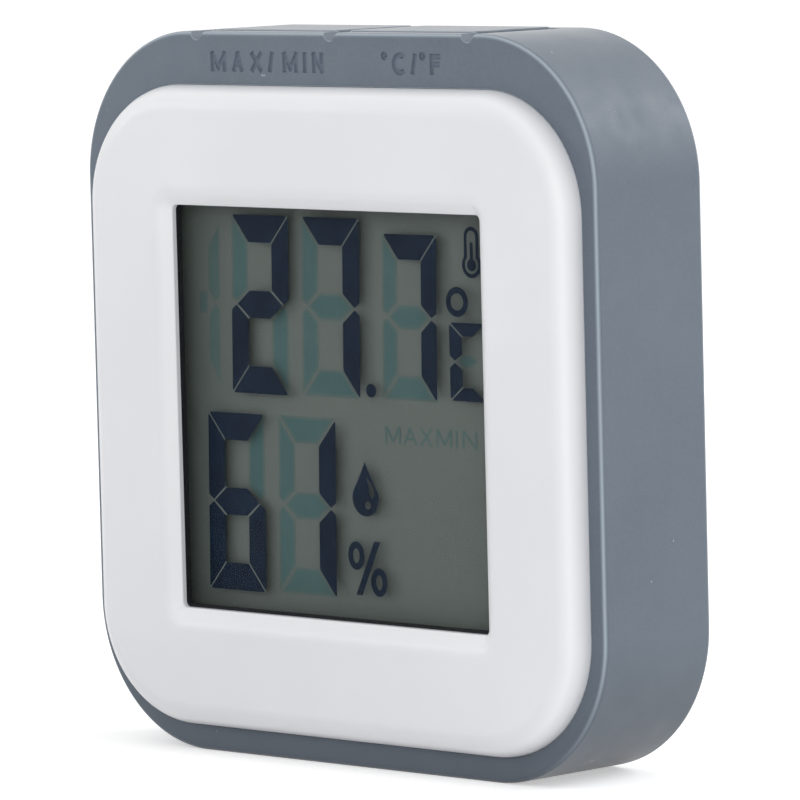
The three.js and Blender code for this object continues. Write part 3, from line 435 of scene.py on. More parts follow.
def bright_steel():
    """Nickel-plated steel with fine drawn lines and dulled spots."""
    finish = Finish("bright_steel", metallic=1.0)
    lines = finish.noise(2600, stretch=(1, 0.05, 1))
    drawn = finish.spread(lines, 0, 1)
    finish.feed("Base Color", finish.mix(drawn, tone(176, 178, 180), tone(206, 207, 208)))
    finish.roughen(900, 0.22, 0.4, detail=3)
    finish.feed("Normal", finish.bump(lines, 0.12, 0.01 * MM))
    return finish.material


def black_plastic(name, dark, pale, rough, shine):
    """Moulded black plastic or resin with a fine grain and worn edges."""
    finish = Finish(name)
    cloud = finish.clouds(300, dark, pale, detail=3)
    worn = finish.spread(finish.edges(), 0, 0.4, 0.52, 0.62)
    finish.feed("Base Color", finish.mix(worn, cloud, tone(70, 71, 74)))
    finish.roughen(1500, shine, rough)
    finish.grain(5000, 0.15, 0.02 * MM)
    return finish.material


def board_laminate():
    """Green solder mask over copper tracks."""
    finish = Finish("board_laminate", coat_weight=0.3)
    tracks = finish.spread(finish.cells(420, 0.35), 0, 1, 0.42, 0.5)
    finish.feed("Base Color", finish.mix(tracks, tone(22, 84, 54), tone(36, 112, 70)))
    finish.roughen(2000, 0.35, 0.5)
    finish.feed("Normal", finish.bump(tracks, 0.3, 0.03 * MM))
    return finish.material


def zebra_rubber():
    """Contact rubber in thin pale and dark layers."""
    finish = Finish("zebra_rubber", specular_ior_level=0.3)
    layers = finish.spread(finish.noise(6000, 0, (1, 0.02, 0.02)), 0, 1, 0.45, 0.55)
    finish.feed("Base Color", finish.mix(layers, tone(38, 37, 42), tone(112, 109, 118)))
    finish.roughen(1800, 0.6, 0.75)
    return finish.material


def sensor_ceramic():
    """White sensor can with a speckled ceramic body."""
    finish = Finish("sensor_ceramic")
    finish.feed("Base Color", finish.clouds(3000, tone(206, 206, 200), tone(226, 226, 222)))
    finish.roughen(1200, 0.45, 0.6)
    return finish.material


SILICONE = silicone()
SUNK_SHADE_SILICONE = sunk_shade_silicone()
WHITE = white_plastic()
FOAM = black_foam()
CLEAR_SHEET = clear_sheet()
REFLECTOR = reflector()
LIT_FIGURE = lit_figure()
FAINT_FRINGE = faint_figure("lcd_faint_fringe", tone(85, 99, 96), tone(91, 104, 101))
FAINT_RIM = faint_figure("lcd_faint_rim", tone(78, 100, 98), tone(84, 104, 102))
FAINT_FIGURE = faint_figure("lcd_faint_figure", tone(70, 97, 98), tone(76, 101, 101))
STEEL = bright_steel()
BLACK = black_plastic("black_plastic", tone(24, 25, 28), tone(34, 35, 38), 0.62, 0.48)
RESIN = black_plastic("black_resin", tone(14, 14, 15), tone(22, 22, 24), 0.35, 0.2)
BOARD = board_laminate()
ZEBRA = zebra_rubber()
CERAMIC = sensor_ceramic()

# Shapes


def soften(bm, edges, radius, segments=EDGE_SEGMENTS):
    """Round the given edges."""
    bmesh.ops.bevel(
        bm,
        geom=edges,
        offset=radius,
        offset_type="OFFSET",
        segments=segments,
        profile=0.5,
        affect="EDGES",
        clamp_overlap=True,
        material=-1,
    )


def edges_at(bm, axis, place):
    """Edges that lie in a plane across an axis."""
    index = "xyz".index(axis)
    return [e for e in bm.edges if all(abs(v.co[index] - place) < TINY for v in e.verts)]


def runs_along(edge, axis):
    """Whether an edge's ends lie apart along an axis."""
    index = "xyz".index(axis)
    return abs(edge.verts[0].co[index] - edge.verts[1].co[index]) > TINY


def slab(low, high, corner=0.0, along="y", segments=CORNER_SEGMENTS):
    """A closed block between two corners, whose edges along one axis are rounded."""
    low, high = Vector(low), Vector(high)
    bm = bmesh.new()
    place = Matrix.Translation((low + high) / 2) @ Matrix.Diagonal((*(high - low), 1.0))
    bmesh.ops.create_cube(bm, size=1.0, matrix=place)
    if corner:
        soften(bm, [e for e in bm.edges if runs_along(e, along)], corner, segments)
    return bm


def funnel(low, high, corner, profile, segments=CORNER_SEGMENTS):
    """A rounded block whose rear face goes on along Y through places, each an inset and a depth."""
    bm = slab(low, high, corner, "y", segments)
    face = max(bm.faces, key=lambda f: f.calc_center_median().y)
    inset = depth = 0.0
    for next_inset, next_depth in profile:
        bmesh.ops.inset_region(
            bm,
            faces=[face],
            thickness=max(next_inset - inset, TINY),
            depth=next_depth - depth,
            use_even_offset=True,
        )
        inset, depth = next_inset, next_depth
    return bm


def rod(radius, start, end, segments=ROUND_SEGMENTS):
    """A closed cylinder between two points."""
    start, end = Vector(start), Vector(end)
    turn = (end - start).to_track_quat("Z", "Y").to_matrix().to_4x4()
    bm = bmesh.new()
    bmesh.ops.create_cone(
        bm,
        cap_ends=True,
        segments=segments,
        radius1=radius,
        radius2=radius,
        depth=(end - start).length,
        matrix=Matrix.Translation((start + end) / 2) @ turn,
    )
    return bm


def sector(inner, outer, from_angle, to_angle, centre, front, rear):
    """Part of a ring about a line along Y, with angles in degrees as seen from the front."""
    bm = bmesh.new()
    start = math.radians(from_angle)
    way = Vector((math.cos(start), 0, math.sin(start)))
    corners = [(inner, rear), (outer, rear), (outer, front), (inner, front)]
    verts = [bm.verts.new(Vector((centre[0], y, centre[1])) + way * radius) for radius, y in corners]
    face = bm.faces.new(verts)
    bmesh.ops.spin(
        bm,
        geom=[face, *face.edges, *face.verts],
        cent=(centre[0], 0, centre[1]),
        axis=(0, -1, 0),
        angle=math.radians(to_angle - from_angle),
        steps=SMALL_SEGMENTS // 2,
    )
    bmesh.ops.recalc_face_normals(bm, faces=bm.faces)
    return bm


def rough_object(bm):
    """A passing object that holds a shape while it is cut or joined."""
    mesh = bpy.data.meshes.new("rough")
    bm.to_mesh(mesh)
    bm.free()
    holder = bpy.data.objects.new("rough", mesh)
    scene.collection.objects.link(holder)
    return holder


def combine(operation, body, tools):
    """A body with closed shapes cut from it or joined to it. The shapes given are used up."""
    target = rough_object(body)
    holders = [rough_object(tool) for tool in tools]
    for holder in holders:
        modifier = target.modifiers.new("combine", "BOOLEAN")
        modifier.operation = operation
        modifier.solver = "MANIFOLD"
        modifier.object = holder
    bpy.context.view_layer.update()
    graph = bpy.context.evaluated_depsgraph_get()
    mesh = bpy.data.meshes.new_from_object(target.evaluated_get(graph))
    result = bmesh.new()
    result.from_mesh(mesh)
    bpy.data.meshes.remove(mesh)
    for holder in (target, *holders):
        spare = holder.data
        bpy.data.objects.remove(holder)
        bpy.data.meshes.remove(spare)
    return result


def cut(body, *tools):
    """A body without the given shapes."""
    return combine("DIFFERENCE", body, tools)


def fuse(body, *tools):
    """A body with the given shapes joined to it."""
    return combine("UNION", body, tools)


def flat_patches(bm):
    """The area of the flat patch that each face belongs to, with a number for the patch."""
    patches = {}
    for first in bm.faces:
        if first in patches:
            continue
        patch, waiting = {first}, [first]
        while waiting:
            neighbours = {face for edge in waiting.pop().edges for face in edge.link_faces} - patch
            level = [face for face in neighbours if face.normal.angle(first.normal, math.pi) < FLAT_ANGLE]
            patch.update(level)
            waiting.extend(level)
        area = sum(face.calc_area() for face in patch)
        patches.update((face, (first.index, area)) for face in patch)
    return patches


def smooth_fan(vert, face):
    """Faces round a vertex that are reached from a face without crossing a sharp edge."""
    fan, waiting = {face}, [face]
    while waiting:
        current = waiting.pop()
        for edge in vert.link_edges:
            if current in edge.link_faces and edge.calc_face_angle(math.pi) < SMOOTH_ANGLE:
                fresh = set(edge.link_faces) - fan
                fan |= fresh
                waiting.extend(fresh)
    return fan


def corner_normals(bm):
    """A normal for each corner of each face, led by the largest flat patch that it rounds into."""
    bm.normal_update()
    bm.faces.index_update()
    patches = flat_patches(bm)
    normals = {}
    for vert in bm.verts:
        open_faces = set(vert.link_faces)
        while open_faces:
            fan = smooth_fan(vert, next(iter(open_faces)))
            leading = {patches[face][0]: face.normal * patches[face][1] for face in fan}
            normal = sum(leading.values(), Vector()).normalized()
            normals.update(((vert, face), normal) for face in fan)
            open_faces -= fan
    return [normals[loop.vert, face] for face in bm.faces for loop in face.loops]


def finish_piece(name, bm, material, body, nodes=(), edge=0.0):
    """Make a shape an object of the scene that rides on a body and stands for CAD nodes."""
    bmesh.ops.dissolve_limit(bm, angle_limit=FLAT_ANGLE, verts=bm.verts, edges=bm.edges)
    if edge:
        folds = [e for e in bm.edges if e.is_manifold and e.calc_face_angle(0.0) > SHARP_ANGLE]
        soften(bm, folds, edge, FOLD_SEGMENTS)
    normals = corner_normals(bm)
    mesh = bpy.data.meshes.new(name)
    bm.to_mesh(mesh)
    bm.free()
    mesh.materials.append(material)
    mesh.shade_smooth()
    mesh.set_sharp_from_angle(angle=SMOOTH_ANGLE)
    mesh.normals_split_custom_set(normals)
    piece = bpy.data.objects.new(name, mesh)
    scene.collection.objects.link(piece)
    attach(piece, body)
    if nodes:
        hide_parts(*nodes)
    return piece


# Sleeve and pads


def inset_box(low, high, inset, front, rear):
    """Corners of the case's outline, inset by a wall, between two places along Y."""
    step = Vector((inset, 0, inset))
    first, last = Vector(low) + step, Vector(high) - step
    first.y, last.y = front, rear
    return first, last


def stroke(start, end, width, front):
    """A straight sunk stroke with sloped walls, between two points on the sleeve's front."""
    start, end = Vector(start), Vector(end)
    along = end - start
    length = along.length + width
    bm = bmesh.new()
    bmesh.ops.create_cube(bm, size=1.0)
    floor_verts = [v for v in bm.verts if v.co.y > 0]
    floor_length = 1 - width * (1 - LETTER_FLOOR) / length
    bmesh.ops.scale(bm, vec=(floor_length, 1, LETTER_FLOOR), verts=floor_verts)
    turn = Matrix.Rotation(-math.atan2(along.y, along.x), 4, "Y")
    middle = (start + end) / 2
    place = Matrix.Translation((middle.x, front, middle.y)) @ turn
    size = Matrix.Diagonal((length, 2 * LETTER_DEPTH, width, 1.0))
    bmesh.ops.transform(bm, matrix=place @ size, verts=bm.verts)
    return bm


def sunk_arc(centre, radius, from_angle, to_angle, width, front):
    """A sunk stroke along an arc, or a whole ring, with angles in degrees."""
    start = math.radians(from_angle)
    way = Vector((math.cos(start), 0, math.sin(start)))
    mouth, floor_half = width / 2, width / 2 * LETTER_FLOOR
    section = [
        (-mouth, -LETTER_DEPTH),
        (mouth, -LETTER_DEPTH),
        (floor_half, LETTER_DEPTH),
        (-floor_half, LETTER_DEPTH),
    ]
    middle = Vector((centre[0], front, centre[1]))
    bm = bmesh.new()
    verts = [bm.verts.new(middle + way * (radius + out) + Vector((0, deep, 0))) for out, deep in section]
    face = bm.faces.new(verts)
    whole = to_angle - from_angle >= 360
    outline = [*face.edges, *face.verts]
    if whole:
        bmesh.ops.delete(bm, geom=[face], context="FACES_ONLY")
    bmesh.ops.spin(
        bm,
        geom=outline if whole else [face, *outline],
        cent=middle,
        axis=(0, -1, 0),
        angle=math.radians(to_angle - from_angle),
        steps=SMALL_SEGMENTS,
        use_merge=whole,
    )
    bmesh.ops.remove_doubles(bm, verts=bm.verts, dist=TINY)
    bmesh.ops.recalc_face_normals(bm, faces=bm.faces)
    return bm


# Letters as strokes in a box one high and one wide.
LETTER_STROKES = {
    "M": [(0, 0), (0, 1), (0.5, 0.12), (1, 1), (1, 0)],
    "A": [(0, 0), (0.5, 1), (1, 0)],
    "X": [(0, 0), (1, 1)],
    "I": [(0.5, 0), (0.5, 1)],
    "N": [(0, 0), (0, 1), (1, 0), (1, 1)],
    "F": [(0, 0), (0, 1), (1, 1)],
    "/": [(0, 0), (1, 1)],
}
CROSS_STROKES = {
    "A": [(0.2, 0.34), (0.8, 0.34)],
    "X": [(0, 1), (1, 0)],
    "F": [(0, 0.5), (0.85, 0.5)],
}

# Sunk letters: each with the places of its left and right edge, in millimetres.
MAX_MIN_LEGEND = [
    ("M", -13.45, -11.5),
    ("A", -11.0, -9.55),
    ("X", -8.9, -7.4),
    ("/", -6.95, -6.1),
    ("M", -5.3, -3.4),
    ("I", -2.9, -2.55),
    ("N", -2.0, -0.55),
]
UNIT_LEGEND = [("/", 8.85, 9.7), ("F", 10.9, 12.24)]
DEGREE_SIGNS = [6.06 * MM, 10.2 * MM]
DEGREE_RISE = 1.52 * MM
DEGREE_RADIUS = 0.21 * MM
DEGREE_STROKE = 0.38 * MM
LARGE_C_MIDDLE = 7.76 * MM
LARGE_C_RADIUS = 0.98 * MM
LARGE_C_NARROW = 0.98  # its width, as a share of its height
LARGE_C_MOUTH = 48  # degrees from the middle of its opening to each end


def letter_lines(letter, left, right, bottom, height, stroke_width):
    """Start and end points of a letter's strokes, inside the letter's edges."""
    inner = stroke_width / 2
    wide, tall = right - left - stroke_width, height - stroke_width
    for line in (LETTER_STROKES.get(letter), CROSS_STROKES.get(letter)):
        if line:
            points = [(left + inner + u * wide, bottom + inner + v * tall) for u, v in line]
            yield from zip(points, points[1:])


def legend_cutters():
    """The strokes of all the sunk lettering of the sleeve's front."""
    bottom = BEZEL_LOW.z + LETTER_RISE
    front = SLEEVE_LOW.y
    for letter, left, right in MAX_MIN_LEGEND + UNIT_LEGEND:
        for start, end in letter_lines(letter, left * MM, right * MM, bottom, LETTER_HEIGHT, LETTER_STROKE):
            yield stroke(start, end, LETTER_STROKE, front)
    for x in DEGREE_SIGNS:
        yield sunk_arc((x, bottom + DEGREE_RISE), DEGREE_RADIUS, 0, 360, DEGREE_STROKE, front)
    radius = LARGE_C_RADIUS - LETTER_STROKE / 2
    large_c = sunk_arc((0, 0), radius, LARGE_C_MOUTH, 360 - LARGE_C_MOUTH, LETTER_STROKE, front)
    bmesh.ops.scale(large_c, vec=(LARGE_C_NARROW, 1, 1), verts=large_c.verts)
    bmesh.ops.translate(large_c, vec=(LARGE_C_MIDDLE, 0, bottom + LETTER_HEIGHT / 2), verts=large_c.verts)
    yield large_c


def is_lettering(place):
    """Whether a place on the sleeve's surface lies in the sunk strokes."""
    rise = place.z - BEZEL_LOW.z - LETTER_RISE
    depth = place.y - SLEEVE_LOW.y
    return abs(place.x) < PAD_PITCH and 0 < rise < LETTER_HEIGHT and TINY < depth < 2 * LETTER_DEPTH


DIP_PLACES = (-1, 0, 1)  # beside and between the pads, in steps of their pitch


def dip_cutter(x):
    """A soft V across the sleeve's top, from the front to behind the pads."""
    top = SLEEVE_HIGH.z
    rear = SLEEVE_HIGH.y - PAD_BACK_WALL
    half = DIP_WIDTH / 2
    low = (x - half, SLEEVE_LOW.y - SLEEVE_FRONT_EDGE, top - DIP_DEPTH)
    high = (x + half, rear, top + DIP_DEPTH)
    bm = slab(low, high)
    floor = [v for v in bm.verts if v.co.z < top]
    bmesh.ops.scale(bm, vec=(DIP_FLOOR, 1, 1), verts=floor, space=Matrix.Translation((-x, 0, 0)))
    lengthwise = [e for e in edges_at(bm, "z", low[2]) if runs_along(e, "y")]
    soften(bm, lengthwise, DIP_FLOOR_EDGE, FEW_SEGMENTS)
    return bm


def dip_rims(bm):
    """Edges at which the dips leave the sleeve's top and front."""
    low = SLEEVE_HIGH.z - DIP_DEPTH - TINY
    half = DIP_WIDTH / 2
    for edge in bm.edges:
        middle = (edge.verts[0].co + edge.verts[1].co) / 2
        near = any(abs(middle.x - place * PAD_PITCH) < half for place in DIP_PLACES)
        if near and middle.z > low and edge.is_convex and edge.calc_face_angle(0.0) > SHARP_ANGLE:
            yield edge


def pad_box(side, gap):
    """Corners of a pad's window in the sleeve, less a gap all round."""
    middle = side * PAD_PITCH / 2
    half = PAD_WINDOW_WIDTH / 2 - gap
    low = Vector((middle - half, SLEEVE_LOW.y + PAD_FRONT_WALL + gap, CASE_MIDDLE))
    high = Vector((middle + half, SLEEVE_HIGH.y - PAD_BACK_WALL - gap, SLEEVE_HIGH.z + OVERCUT))
    return low, high


def mouth_profile(depth):
    """Places of the rounded mouth of the sleeve's bore, and of its straight wall."""
    for i in range(1, FEW_SEGMENTS + 1):
        angle = math.pi / 2 * i / FEW_SEGMENTS
        yield SLEEVE_MOUTH_EDGE * math.sin(angle), SLEEVE_MOUTH_EDGE * (1 - math.cos(angle))
    yield SLEEVE_MOUTH_EDGE + TINY, depth


def silicone_sleeve():
    """The sleeve, stretched over the case, with windows for the pads, dips beside them and sunk lettering."""
    body = slab(SLEEVE_LOW, SLEEVE_HIGH, SLEEVE_CORNER)
    soften(body, edges_at(body, "y", SLEEVE_LOW.y), SLEEVE_FRONT_EDGE)
    soften(body, edges_at(body, "y", SLEEVE_HIGH.y), SLEEVE_BACK_EDGE)
    lip_front = SLEEVE_HIGH.y - SLEEVE_LIP_THICKNESS
    mouth = SLEEVE_SEAT + SLEEVE_MOUTH_EDGE
    bore_box = inset_box(BEZEL_LOW, BEZEL_HIGH, -mouth, BEZEL_LOW.y, SLEEVE_LOW.y)
    bore = funnel(*bore_box, CASE_CORNER + mouth, mouth_profile(lip_front - SLEEVE_LOW.y))
    lip = SLEEVE_LIP_WIDTH
    rear_box = inset_box(BEZEL_LOW, BEZEL_HIGH, lip, lip_front - FIT, SLEEVE_HIGH.y + FIT)
    rear_opening = slab(*rear_box, CASE_CORNER - lip)
    dips = [dip_cutter(place * PAD_PITCH) for place in DIP_PLACES]
    body = cut(body, bore, rear_opening, *dips)
    soften(body, list(dip_rims(body)), DIP_RIM_EDGE, FEW_SEGMENTS)
    windows = [slab(*pad_box(side, 0), PAD_CORNER, "z", PAD_CORNER_SEGMENTS) for side in (-1, 1)]
    body = cut(body, *windows, *legend_cutters())
    # The sunk strokes take the duller copy of the rubber, as painted shade.
    for face in body.faces:
        face.material_index = int(is_lettering(face.calc_center_median()))
    piece = finish_piece("sleeve", body, SILICONE, "case", ["silicone_sleeve"])
    piece.data.materials.append(SUNK_SHADE_SILICONE)


def press_pad(name, side, body_name):
    """A press pad with a flange under the sleeve and a nub that bears on the switch's plunger."""
    node_low, node_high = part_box(f"{name}_button")
    low, high = pad_box(side, PAD_GAP)
    high.z = node_high.z
    low.z = BEZEL_HIGH.z + FIT + PAD_LIFT
    pad = slab(low, high, PAD_CORNER - PAD_GAP, "z", PAD_CORNER_SEGMENTS)
    soften(pad, edges_at(pad, "z", high.z), PAD_TOP_EDGE, PAD_EDGE_SEGMENTS)
    flange_low = Vector((low.x, low.y - PAD_LEDGE, low.z))
    flange_high = Vector((high.x, high.y + PAD_LEDGE, low.z + PAD_FLANGE))
    flange = slab(flange_low, flange_high)
    plunger_low, plunger_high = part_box(f"{name}_plunger")
    foot = (plunger_low + plunger_high) / 2
    foot.z = node_low.z
    nub = rod(PAD_NUB_RADIUS, foot, (foot.x, foot.y, low.z + FIT), SMALL_SEGMENTS)
    body = fuse(pad, flange, nub)
    finish_piece(f"{name}_pad", body, SILICONE, body_name, [f"{name}_button"])


# Case

COVER_REAR = COVER_HIGH.y
PANEL_FRONT = COVER_REAR - PANEL_WALL
BAY_FRONT = COVER_REAR - BAY_DEPTH
GROOVE_RADIUS = DOOR_RADIUS + LUG_REACH + DOOR_GAP
GROOVE_FRONT = PANEL_FRONT - LUG_THICKNESS - 2 * DOOR_GAP
STAND_HINGE = Vector((0, STAND_HIGH.y - BARREL_RADIUS, STAND_LOW.z + BARREL_RADIUS))


def window_box(grow, front, rear):
    """Corners of the window, grown all round, between two places along Y."""
    half_width, half_height = WINDOW_WIDTH / 2 + grow, WINDOW_HEIGHT / 2 + grow
    low = Vector((-half_width, front, CASE_MIDDLE - half_height))
    high = Vector((half_width, rear, CASE_MIDDLE + half_height))
    return low, high


def band_profile():
    """Places of the window's soft band, from the flat face to the lip and on through the wall."""
    steps = range(1, EDGE_SEGMENTS + 1)
    for i in steps:
        angle = BAND_SLOPE * i / EDGE_SEGMENTS
        inset, depth = BAND_OUTER_RADIUS * math.sin(angle), BAND_OUTER_RADIUS * (1 - math.cos(angle))
        yield inset, depth
    lip_inset = BAND_WIDTH - BAND_LIP_RADIUS * (1 - math.sin(BAND_SLOPE))
    lip_depth = depth + (lip_inset - inset) * math.tan(BAND_SLOPE)
    yield lip_inset, lip_depth
    for i in steps:
        angle = BAND_SLOPE + (math.pi / 2 - BAND_SLOPE) * i / EDGE_SEGMENTS
        lip_turn = math.cos(BAND_SLOPE) - math.cos(angle)
        yield BAND_WIDTH - BAND_LIP_RADIUS * (1 - math.sin(angle)), lip_depth + BAND_LIP_RADIUS * lip_turn
    yield BAND_WIDTH + TINY, FACE_WALL + FIT


def peg(place, radius, front, rear):
    """A small closed cylinder along Y through a place."""
    return rod(radius, (place.x, front, place.z), (place.x, rear, place.z), SMALL_SEGMENTS)


def screw_places():
    """Name, middle and rear end of each case screw."""
    for side in ("lower_left", "lower_right", "upper_left", "upper_right"):
        low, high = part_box(f"case_screw_{side}")
        yield side, (low + high) / 2, high.y


def screw_boss(name, rear):
    """A boss behind the bezel's face for the screw of that name, and the hole in it."""
    low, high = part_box(name)
    middle = (low + high) / 2
    boss = peg(middle, SCREW_SHANK_RADIUS + SCREW_WALL, BEZEL_LOW.y + FACE_WALL - FIT, rear)
    hole = peg(middle, SCREW_SHANK_RADIUS + SCREW_SEAT, low.y - FIT, rear + FIT)
    return boss, hole


def front_bezel():
    """The white front with its window, and the bosses that the screws go into."""
    front = BEZEL_LOW.y
    body = slab(BEZEL_LOW, BEZEL_HIGH, CASE_CORNER)
    soften(body, edges_at(body, "y", front), BEZEL_EDGE, BEZEL_EDGE_SEGMENTS)
    hollow_box = inset_box(BEZEL_LOW, BEZEL_HIGH, CASE_WALL, front + FACE_WALL, BEZEL_HIGH.y + FIT)
    hollow = slab(*hollow_box, CASE_CORNER - CASE_WALL)
    mouth = window_box(BAND_WIDTH, front - OVERCUT, front)
    opening = funnel(*mouth, WINDOW_CORNER + BAND_WIDTH, band_profile(), WINDOW_CORNER_SEGMENTS)
    bosses = [screw_boss(f"case_screw_{side}", BEZEL_HIGH.y) for side, _, _ in screw_places()]
    board_low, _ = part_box("circuit_board")
    bosses += [screw_boss(f"board_screw_{side}", board_low.y - SCREW_SEAT) for side in ("left", "right")]
    body = fuse(cut(body, hollow, opening), *(boss for boss, _ in bosses))
    body = cut(body, *(hole for _, hole in bosses))
    finish_piece("bezel", body, WHITE, "case", ["front_bezel"])


def door_centre():
    """Middle of the battery door, across X and Z, from the twist joint."""
    joint = next(j for j in frame["joints"] if j["name"] == "battery_door_twist")
    return joint["pos_m"][0], joint["pos_m"][2]


def door_rod(radius, front, rear):
    """A cylinder about the battery door's middle."""
    x, z = door_centre()
    return rod(radius, (x, front, z), (x, rear, z))


def bayonet(first, wide, inner, outer, front, rear):
    """The door's lugs, or the notches that let them in: sectors spread evenly round the door."""
    for i in range(LUG_COUNT):
        middle = first + i * 360 / LUG_COUNT
        yield sector(inner, outer, middle - wide / 2, middle + wide / 2, door_centre(), front, rear)


def stadium(x, z, length, width, front, rear):
    """A slot with round ends, along X."""
    low = (x - length / 2, front, z - width / 2)
    high = (x + length / 2, rear, z + width / 2)
    return slab(low, high, width / 2 - TINY, "y", SLOT_END_SEGMENTS)


def cover_shell():
    """The rear half of the case: an open tray with a raised back panel."""
    shoulder = COVER_REAR - PANEL_SHOULDER
    shell = slab(*inset_box(COVER_LOW, COVER_HIGH, 0, COVER_LOW.y, shoulder), CASE_CORNER)
    panel_box = inset_box(COVER_LOW, COVER_HIGH, PANEL_INSET, shoulder - FIT, COVER_REAR)
    panel = slab(*panel_box, CASE_CORNER - PANEL_INSET)
    soften(panel, edges_at(panel, "y", COVER_REAR), PANEL_EDGE, FEW_SEGMENTS)
    hollow_box = inset_box(COVER_LOW, COVER_HIGH, CASE_WALL, COVER_LOW.y - FIT, PANEL_FRONT)
    hollow = slab(*hollow_box, CASE_CORNER - CASE_WALL)
    return cut(fuse(shell, panel), hollow)


def stand_recess():
    """Corners of the hollow that the folded stand lies in."""
    front = STAND_HINGE.y - BARREL_RADIUS - STAND_GAP
    low = Vector((STAND_LOW.x - STAND_GAP, front, STAND_LOW.z - STAND_GAP))
    high = Vector((STAND_HIGH.x + STAND_GAP, COVER_REAR + FIT, STAND_HIGH.z + STAND_GAP))
    return low, high


def cover_bosses():
    """What stands on the inside of the back panel: the stand's pocket, the battery bay and its collar."""
    recess_low, recess_high = stand_recess()
    wall = Vector((POCKET_WALL + HINGE_CHEEK, 0, POCKET_WALL))
    pocket_low, pocket_high = recess_low - wall, recess_high + wall
    pocket_low.y, pocket_high.y = recess_low.y - POCKET_WALL, PANEL_FRONT + FIT
    pocket = slab(pocket_low, pocket_high)
    bay = door_rod(DOOR_SKIRT_INNER + BAY_WALL, BAY_FRONT - BAY_FLOOR, PANEL_FRONT + FIT)
    collar = door_rod(GROOVE_RADIUS + BAY_WALL, GROOVE_FRONT - BAY_WALL, PANEL_FRONT + FIT)
    half_wall = CASE_WALL / 2
    inside_box = inset_box(COVER_LOW, COVER_HIGH, half_wall, BAY_FRONT - OVERCUT, PANEL_FRONT + FIT)
    inside = slab(*inside_box, CASE_CORNER - half_wall)
    return combine("INTERSECT", fuse(pocket, bay, collar), [inside])


def screw_posts():
    """Posts on the inside of the back panel, in which the case screws' heads sink."""
    for _, place, _ in screw_places():
        yield peg(place, SCREW_RECESS_RADIUS + SCREW_WALL, COVER_LOW.y + SCREW_SEAT, PANEL_FRONT + FIT)


def battery_hollows():
    """Cutters for the battery bay, the groove that the lugs turn in, the door's hole and its notches."""
    yield door_rod(DOOR_SKIRT_INNER, BAY_FRONT, GROOVE_FRONT + FIT)
    yield door_rod(GROOVE_RADIUS, GROOVE_FRONT, PANEL_FRONT)
    yield door_rod(DOOR_RADIUS + DOOR_GAP, PANEL_FRONT - FIT, COVER_REAR + FIT)
    first, inner = FIRST_LUG - LOCK_ANGLE, DOOR_RADIUS - OVERCUT
    yield from bayonet(first, NOTCH_ANGLE, inner, GROOVE_RADIUS, PANEL_FRONT - FIT, COVER_REAR + FIT)


def back_openings():
    """Cutters for the stand's recess with its finger scoop, the vents, and the screws' heads and shanks."""
    rear = COVER_REAR + FIT
    recess_low, recess_high = stand_recess()
    yield slab(recess_low, recess_high)
    yield peg(Vector((0, 0, recess_high.z)), FINGER_RADIUS, COVER_REAR - FINGER_DEPTH, rear)
    for side in (-1, 1):
        for i in range(VENT_COUNT):
            rise = COVER_LOW.z + LOWEST_VENT + i * VENT_PITCH
            yield stadium(side * VENT_MIDDLE, rise, VENT_LENGTH, VENT_WIDTH, PANEL_FRONT - FIT, rear)
    for _, place, head_rear in screw_places():
        yield peg(place, SCREW_RECESS_RADIUS, head_rear - SCREW_HEAD_HEIGHT, rear)
    for _, place, head_rear in screw_places():
        yield peg(place, SCREW_SHANK_RADIUS + FIT, COVER_LOW.y + SCREW_SEAT - FIT, head_rear - FIT)


def rear_cover():
    """The white back with its vents, battery bay, stand recess and screw posts."""
    body = fuse(cover_shell(), cover_bosses(), *screw_posts())
    body = cut(body, *battery_hollows())
    body = cut(body, *back_openings())
    finish_piece("back_cover", body, WHITE, "case", ["rear_cover"])


def battery_door():
    """The round door with its skirt, three lugs and a slot for a coin."""
    outer = DOOR_HIGH.y
    inner = outer - DOOR_WALL
    face = door_rod(DOOR_RADIUS, inner, outer)
    soften(face, edges_at(face, "y", outer), DOOR_EDGE, FEW_SEGMENTS)
    skirt = cut(
        door_rod(DOOR_RADIUS - FIT, DOOR_LOW.y, inner + FIT),
        door_rod(DOOR_SKIRT_INNER, DOOR_LOW.y - FIT, inner),
    )
    root, tip = DOOR_RADIUS - LUG_REACH / 2, DOOR_RADIUS + LUG_REACH
    lugs = bayonet(FIRST_LUG, LUG_ANGLE, root, tip, DOOR_LOW.y, DOOR_LOW.y + LUG_THICKNESS)
    x, z = door_centre()
    slot = stadium(x, z, COIN_SLOT_LENGTH, COIN_SLOT_WIDTH, outer - COIN_SLOT_DEPTH, outer + FIT)
    body = cut(fuse(face, skirt, *lugs), slot)
    finish_piece("coin_door", body, WHITE, "door", ["battery_door"])


def hinge_rod(radius, left, right):
    """A cylinder along the stand's hinge."""
    _, y, z = STAND_HINGE
    return rod(radius, (left, y, z), (right, y, z), SMALL_SEGMENTS)


def fold_out_stand():
    """The stand's leaf on its hinge barrel, with the hole for the pin."""
    leaf = slab((STAND_LOW.x, STAND_HIGH.y - STAND_THICKNESS, STAND_HINGE.z), STAND_HIGH)
    corners = [e for e in edges_at(leaf, "z", STAND_HIGH.z) if runs_along(e, "y")]
    soften(leaf, corners, STAND_CORNER, STAND_CORNER_SEGMENTS)
    barrel = hinge_rod(BARREL_RADIUS, STAND_LOW.x, STAND_HIGH.x)
    hole = hinge_rod(PIN_HOLE_RADIUS, PIN_LOW.x - OVERCUT, PIN_HIGH.x + OVERCUT)
    body = cut(fuse(leaf, barrel), hole)
    finish_piece("stand_leaf_plate", body, WHITE, "stand_leaf", ["stand"])


